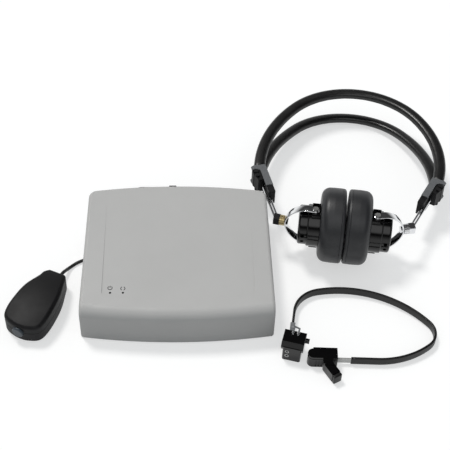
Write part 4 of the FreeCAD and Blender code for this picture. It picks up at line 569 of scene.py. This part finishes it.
def band_sleeve(which):
    """Padded sleeve: the section carried along the band, puckered on its inner side, with ends
    cut to the clamps' planes and drawn in round the edge."""
    first, last = angle_at_clamp(which, "left"), angle_at_clamp(which, "right")
    angle = first + (last - first) * (0.5 - 0.5 * np.cos(np.linspace(0, math.pi, 241)))
    centre, out, way, up = band_frame(which, angle)
    length = np.r_[0, np.cumsum(np.linalg.norm(np.diff(centre, axis=0), axis=1))]
    to_end = np.minimum(length, length[-1] - length)
    outline = band_section()
    draws = np.random.default_rng(SEED)
    phase = draws.uniform(0, 2 * math.pi, len(PUCKER_WAVES))
    ripple = sum(np.sin(length * k + p) for k, p in zip(PUCKER_WAVES, phase)) / len(PUCKER_WAVES)
    inner = np.clip(-outline[:, 0] / SLEEVE[0] * 2, 0, 1)
    tight = 1 - END_DRAW * np.exp(-to_end / END_DRAW_FROM)[:, None, None]
    section = outline[None] * tight * (1 + PUCKER * ripple[:, None, None] * inner[None, :, None])
    grid = centre[:, None] + section[..., :1] * out[:, None] + section[..., 1:] * up
    for side, end, near in (("left", 0, length), ("right", -1, length[-1] - length)):
        normal = clamp_plane(side)[1]
        lag = ((grid - centre[:, None]) @ normal) / (way[end] @ normal)
        fade = np.clip(1 - near / END_TRIM_FROM, 0, 1)[:, None]
        grid = grid - (lag * fade)[..., None] * way[:, None]
    piece = surface("%s_band_vinyl" % which, put(headset_place(), grid))
    dress(piece, "vinyl", "headband", "%s_band_sleeve" % which)


for which in BANDS:
    band_sleeve(which)


def fork(side):
    """Fork: a strip bent to half an oval, with straight arms that end round at the pivots.

    With t from -90 to 90 degrees along the bow, x = tab + (reach - tab) * |cos t|^(2/n) and
    z = half height * |sin t|^(2/n), signed as t. The arms run on from there to the eyes, where
    the strip narrows as sqrt(1 - (x / eye)^2).
    """
    t = np.linspace(-1, 1, 61) * math.pi / 2
    x = FORK_TAB + (FORK_REACH - FORK_TAB) * np.abs(np.cos(t)) ** (2 / FORK_OVAL)
    z = FORK_Z * np.sign(t) * np.abs(np.sin(t)) ** (2 / FORK_OVAL)
    arm = np.r_[-FORK_EYE * np.cos(np.linspace(0.1, 1.4, 9)), np.arange(3) / 3 * FORK_TAB]
    x = np.r_[arm, x[1:-1], arm[::-1]]
    z = np.r_[np.full(len(arm), -FORK_Z), z[1:-1], np.full(len(arm), FORK_Z)]
    centre = np.stack([x, 0 * x, z], -1)
    way = unit(np.gradient(centre, axis=0))
    out = np.stack([-way[:, 2], 0 * x, way[:, 0]], -1)
    wide = np.sqrt(np.clip(1 - np.clip(-x / FORK_EYE, 0, 0.999) ** 2, 0.002, 1))
    outline = bar_outline(FORK_T, FORK_W, FORK_EDGE, 4)
    section = outline[None] * np.stack([np.ones(len(x)), wide], -1)[:, None]
    place = side_place(side) @ pivot(side, FORK_LEAN[side])
    up = np.broadcast_to([0.0, 1.0, 0.0], out.shape)
    spin = place[:3, :3].T
    piece = swept("%s_fork_strip" % side, put(place, centre), out @ spin, up @ spin, section)
    dress(piece, "chrome", "%s_fork" % side, "%s_yoke" % side)


for side in SIDES:
    fork(side)


# ---------------------------------------------------------------- bone-conduction headband

BONE_START, BONE_HEADING = (136.2, -111.7), -2.7
# Strip's runs in order: radius and degrees of an arc, or zero and the length of a straight.
BONE_PATH = ((0, 58.7), (81.5, 40.7), (19.9, 89.9), (112.4, 62.7), (31.5, 70.3), (0, 19.4))
BONE_BARE = (33.0, 4.0)                   # bare steel at the strip's two ends
BONE_MID_Z = 5.2
BONE_SLEEVE, BONE_SLEEVE_EDGE = (2.6, 9.2), 0.8

REST_FROM, REST_DEPTH = 126.3, 11.0       # rest block's left end, and its depth
ARM_PIN_AT, ARM_TURN = (19.5, 2.0), -61.0
ARM_LENGTH, ARM_W, ARM_H, ARM_FOOT = 18.5, 9.2, 10.6, 0.8
PAD_T, PAD_OVER, PAD_EDGE = 4.0, 0.5, 1.2


def bone_line():
    """Plan line of the strip and its directions: straight runs and arcs, joined in order.

    Along an arc of radius R the heading grows evenly, and the point is the arc's centre plus R
    times (sin, -cos) of the heading.
    """
    at, heading = np.array(BONE_START), math.radians(BONE_HEADING)
    points, headings = [], []
    for n, (radius, amount) in enumerate(BONE_PATH):
        if radius == 0:
            way = np.array([math.cos(heading), math.sin(heading)])
            lead = BONE_BARE[0] if n == 0 else 0.0
            tail = BONE_BARE[1] if n == len(BONE_PATH) - 1 else 0.0
            run = np.linspace(lead, amount - tail, 8)
            points.append(at + run[:, None] * way)
            headings.append(np.full(len(run), heading))
            at = at + amount * way
        else:
            middle = at + radius * np.array([-math.sin(heading), math.cos(heading)])
            turned_by = heading + np.radians(np.linspace(0, amount, max(8, int(amount * 0.8)))[1:])
            points.append(middle + radius * np.stack([np.sin(turned_by), -np.cos(turned_by)], -1))
            headings.append(turned_by)
            at, heading = points[-1][-1], turned_by[-1]
    return np.concatenate(points), np.concatenate(headings)


def bone_sleeve():
    """Rubber sleeve on the strip: a flat bar on edge with round corners."""
    plan, heading = bone_line()
    keep = np.r_[True, np.linalg.norm(np.diff(plan, axis=0), axis=1) > 1e-6]
    plan, heading = plan[keep], heading[keep]
    centre = np.c_[plan, np.full(len(plan), BONE_MID_Z)]
    out = np.stack([np.sin(heading), -np.cos(heading), 0 * heading], -1)
    up = np.broadcast_to([0.0, 0.0, 1.0], out.shape)
    piece = swept("bone_band_rubber", centre, out, up, bar_outline(*BONE_SLEEVE, BONE_SLEEVE_EDGE, 5))
    dress(piece, "rubber", "bone_band", "bone_band_sleeve")


def rest_pad():
    """Rubber tip of the arm: a block with well rounded edges."""
    way = math.radians(BONE_HEADING)
    back = REST_FROM - BONE_START[0]
    block_at = shift(BONE_START[0] + back * math.cos(way), BONE_START[1] + back * math.sin(way), 0)
    pin = put(block_at @ turn("Z", BONE_HEADING),
              np.array([ARM_PIN_AT[0], -REST_DEPTH / 2 - ARM_PIN_AT[1], 0]))
    place = shift(*pin) @ turn("Z", ARM_TURN)
    place = place @ shift(ARM_LENGTH - PAD_T / 2, 0, ARM_FOOT + (ARM_H - PAD_OVER) / 2)
    piece = block("rest_pad_rubber", place, (PAD_T, ARM_W, ARM_H + PAD_OVER), PAD_EDGE)
    dress(piece, "rubber", "rest_arm", "rest_pad")


bone_sleeve()
rest_pad()


# ---------------------------------------------------------------- case and switch details

SWITCH_AT, SWITCH_HEADING = (-122.6, -11.3), 244.5
GLAND_COLLAR = (2.25, 3.4, 4.2)           # collar inside the shell: from, to, radius
GLAND_R, GLAND_LENGTH, GLAND_TIP_R, BORE_GAP = 2.95, 6.0, 2.3, 0.05
RIBS, RIB_PITCH, RIB_FROM, RIB_SHRINK = 3, 1.7, 1.0, 0.2
# Points of a groove: distance behind its rib's end, depth below the rib, and rounding.
GROOVE = ((0.0, 0.0, 0.15), (0.1, 0.55, 0.1), (0.7, 0.6, 0.1), (0.8, 0.1, 0.15))

CASE_TOP, PANEL_SINK, PANEL_FRONT, PANEL_REAR = 42.0, 0.9, -65.2, 72.0
POWER_ICON, SIGNAL_ICON, ICON_R = (-66.3, -50.2), (-53.7, -50.9), 2.1
PRINT_W, PRINT_T = 0.72, 0.05


def gland():
    """Bend relief of the cord: a tapered rubber sleeve with grooves cut round it."""
    inner, outer, collar_r = GLAND_COLLAR
    bore = CORD_R + BORE_GAP
    ribs = []
    for k in range(RIBS):
        x, r = -RIB_FROM - RIB_PITCH * k, GLAND_R - RIB_SHRINK * k
        ribs += [(x - behind, r - below, edge) for behind, below, edge in GROOVE]
    outline = [(outer, bore, 0.1), (outer, collar_r, 0.2), (inner, collar_r, 0.2), (inner, GLAND_R, 0.1)]
    outline += ribs + [(-GLAND_LENGTH, GLAND_TIP_R, 0.2), (-GLAND_LENGTH, bore, 0.1)]
    place = shift(*SWITCH_AT, GLAND_END[2]) @ turn("Z", SWITCH_HEADING)
    piece = turned("gland_rubber", rounded(outline, 4), place)
    dress(piece, "rubber", "case_and_switch", "cord_gland")


def printed_line(name, x, y, out):
    """Thin printed line on the sloping panel: a flat bar along points, widened along out."""
    z = CASE_TOP - PANEL_SINK * (PANEL_REAR - y) / (PANEL_REAR - PANEL_FRONT)
    up = np.broadcast_to([0.0, 0.0, 1.0], out.shape)
    side = PRINT_W / 2
    outline = np.array([(-side, 0.0), (side, 0.0), (side, PRINT_T), (-side, PRINT_T)])
    dress(swept(name, np.stack([x, y, z], -1), out, up, outline), "dark_plastic", "case_and_switch")


def printed_arc(name, middle, first, last):
    """Printed arc: middle + radius * (cos t, sin t) for t between two angles in degrees."""
    t = np.radians(np.linspace(first, last, 33))
    out = np.stack([np.cos(t), np.sin(t), 0 * t], -1)
    printed_line(name, middle[0] + ICON_R * out[:, 0], middle[1] + ICON_R * out[:, 1], out)


def printed_bar(name, middle, low, high):
    """Printed upright bar, between two distances from an icon's middle."""
    y = middle[1] + np.linspace(low, high, 5)
    printed_line(name, np.full(len(y), middle[0]), y, np.broadcast_to([1.0, 0.0, 0.0], (len(y), 3)))


gland()
printed_arc("power_ring_print", POWER_ICON, 125, 415)
printed_bar("power_bar_print", POWER_ICON, 0.3, 2.7)
printed_arc("signal_left_print", SIGNAL_ICON, 115, 245)
printed_arc("signal_right_print", SIGNAL_ICON, -65, 65)


# ---------------------------------------------------------------- room and light

TABLE_HALF, TABLE_GLOW, TABLE_LIT = 6.0, 0.55, 0.52
SCREEN_TO = (-0.05, -0.48, 0.876)         # towards the lamp screen on the ceiling
FILL_TO = (0.0, 0.6, 0.8)                 # the fill weakens towards here, behind and above
COOL, NEUTRAL = (0.93, 0.98, 1.0, 1.0), (1.0, 1.0, 1.0, 1.0)
KEY_POWER, KEY_WIDTH, KEY_COLOUR = 1.75, 14.0, (1.0, 0.985, 0.965)
KEY_TILT, KEY_AXIS = 30.0, (-0.8, -0.6, 0.0)


def seen_directly(tree):
    """One for camera, mirror and glass rays, and zero for the rest, as a socket."""
    rays = add(tree, "ShaderNodeLightPath")
    seen = rays.outputs["Is Camera Ray"]
    for kind in ("Is Glossy Ray", "Is Transmission Ray"):
        either = add(tree, "ShaderNodeMath", {"operation": "MAXIMUM"}, {0: seen, 1: rays.outputs[kind]})
        seen = either.outputs[0]
    return seen


def glowing_white(name, colour, shown, lit):
    """Matt surface that also glows by its own for camera, mirror and glass rays."""
    material = bpy.data.materials.new(name)
    material.use_nodes = True
    tree = material.node_tree
    tree.nodes.clear()
    power = add(tree, "ShaderNodeMath", {"operation": "MULTIPLY"}, {0: seen_directly(tree), 1: shown})
    glow = add(tree, "ShaderNodeEmission", None, {"Color": linear(colour), "Strength": power.outputs[0]})
    dimmed = tuple(c * lit for c in linear(colour)[:3]) + (1.0,)
    matt = add(tree, "ShaderNodeBsdfDiffuse", None, {"Color": dimmed})
    both = add(tree, "ShaderNodeAddShader", None, {0: glow.outputs[0], 1: matt.outputs[0]})
    add(tree, "ShaderNodeOutputMaterial", None, {"Surface": both.outputs[0]})
    return material


def lay_table():
    """White table under the set."""
    h = TABLE_HALF
    mesh = bpy.data.meshes.new("table")
    mesh.from_pydata([(-h, -h, 0), (h, -h, 0), (h, h, 0), (-h, h, 0)], [], [(0, 1, 2, 3)])
    floor = bpy.data.objects.new("table", mesh)
    floor.data.materials.append(glowing_white("table_white", "#ffffff", TABLE_GLOW, TABLE_LIT))
    bpy.context.scene.collection.objects.link(floor)


def light_room():
    """White backdrop under a dark ceiling with one wide lamp screen, and an even fill."""
    world = bpy.data.worlds.new("studio")
    bpy.context.scene.world = world
    world.use_nodes = True
    sky = world.node_tree
    sky.nodes.clear()
    way = add(sky, "ShaderNodeTexCoord").outputs["Generated"]
    height = add(sky, "ShaderNodeSeparateXYZ", None, {0: way})
    # What mirrors show: white low down, dark above, and the lamp screen.
    ceiling = add(sky, "ShaderNodeMapRange", None,
                  {VALUE: height.outputs["Z"], FROM_LOW: 0.05, FROM_HIGH: 0.45, TO_LOW: 1.0, TO_HIGH: 0.05})
    aside = add(sky, "ShaderNodeVectorMath", {"operation": "DOT_PRODUCT"}, {0: way, 1: SCREEN_TO})
    screen = add(sky, "ShaderNodeMapRange", {"interpolation_type": "SMOOTHSTEP"},
                 {VALUE: aside.outputs["Value"], FROM_LOW: 0.88, FROM_HIGH: 0.97, TO_LOW: 0.0, TO_HIGH: 1.5})
    shiny = add(sky, "ShaderNodeMath", {"operation": "ADD"}, {0: ceiling.outputs[0], 1: screen.outputs[0]})
    # The light that falls on the set is a little stronger from the front than from above.
    behind = add(sky, "ShaderNodeVectorMath", {"operation": "DOT_PRODUCT"}, {0: way, 1: FILL_TO})
    fill = add(sky, "ShaderNodeMapRange", None,
               {VALUE: behind.outputs["Value"], FROM_LOW: -0.6, FROM_HIGH: 0.8, TO_LOW: 0.56, TO_HIGH: 0.41})
    seen = seen_directly(sky)
    level = add(sky, "ShaderNodeMix", {"data_type": "FLOAT"},
                {SHARE: seen, NUMBER_A: fill.outputs[0], NUMBER_B: shiny.outputs[0]})
    # The fill is cool and the lamp warm, as daylight in a room is.
    tint = add(sky, "ShaderNodeMix", {"data_type": "RGBA"}, {SHARE: seen, COLOUR_A: COOL, COLOUR_B: NEUTRAL})
    glow = add(sky, "ShaderNodeBackground", None,
               {"Color": tint.outputs[MIXED_COLOUR], "Strength": level.outputs[0]})
    add(sky, "ShaderNodeOutputWorld", None, {"Surface": glow.outputs[0]})


def hang_key_lamp():
    """Wide warm lamp behind on the left, 60 degrees up."""
    key = bpy.data.lights.new("key", "SUN")
    key.energy = KEY_POWER
    key.angle = math.radians(KEY_WIDTH)
    key.color = KEY_COLOUR
    key_lamp = bpy.data.objects.new("key", key)
    key_lamp.rotation_euler = Matrix.Rotation(math.radians(KEY_TILT), 4, KEY_AXIS).to_euler()
    bpy.context.scene.collection.objects.link(key_lamp)


lay_table()
light_room()
hang_key_lamp()
bpy.context.scene.view_settings.view_transform = "Standard"
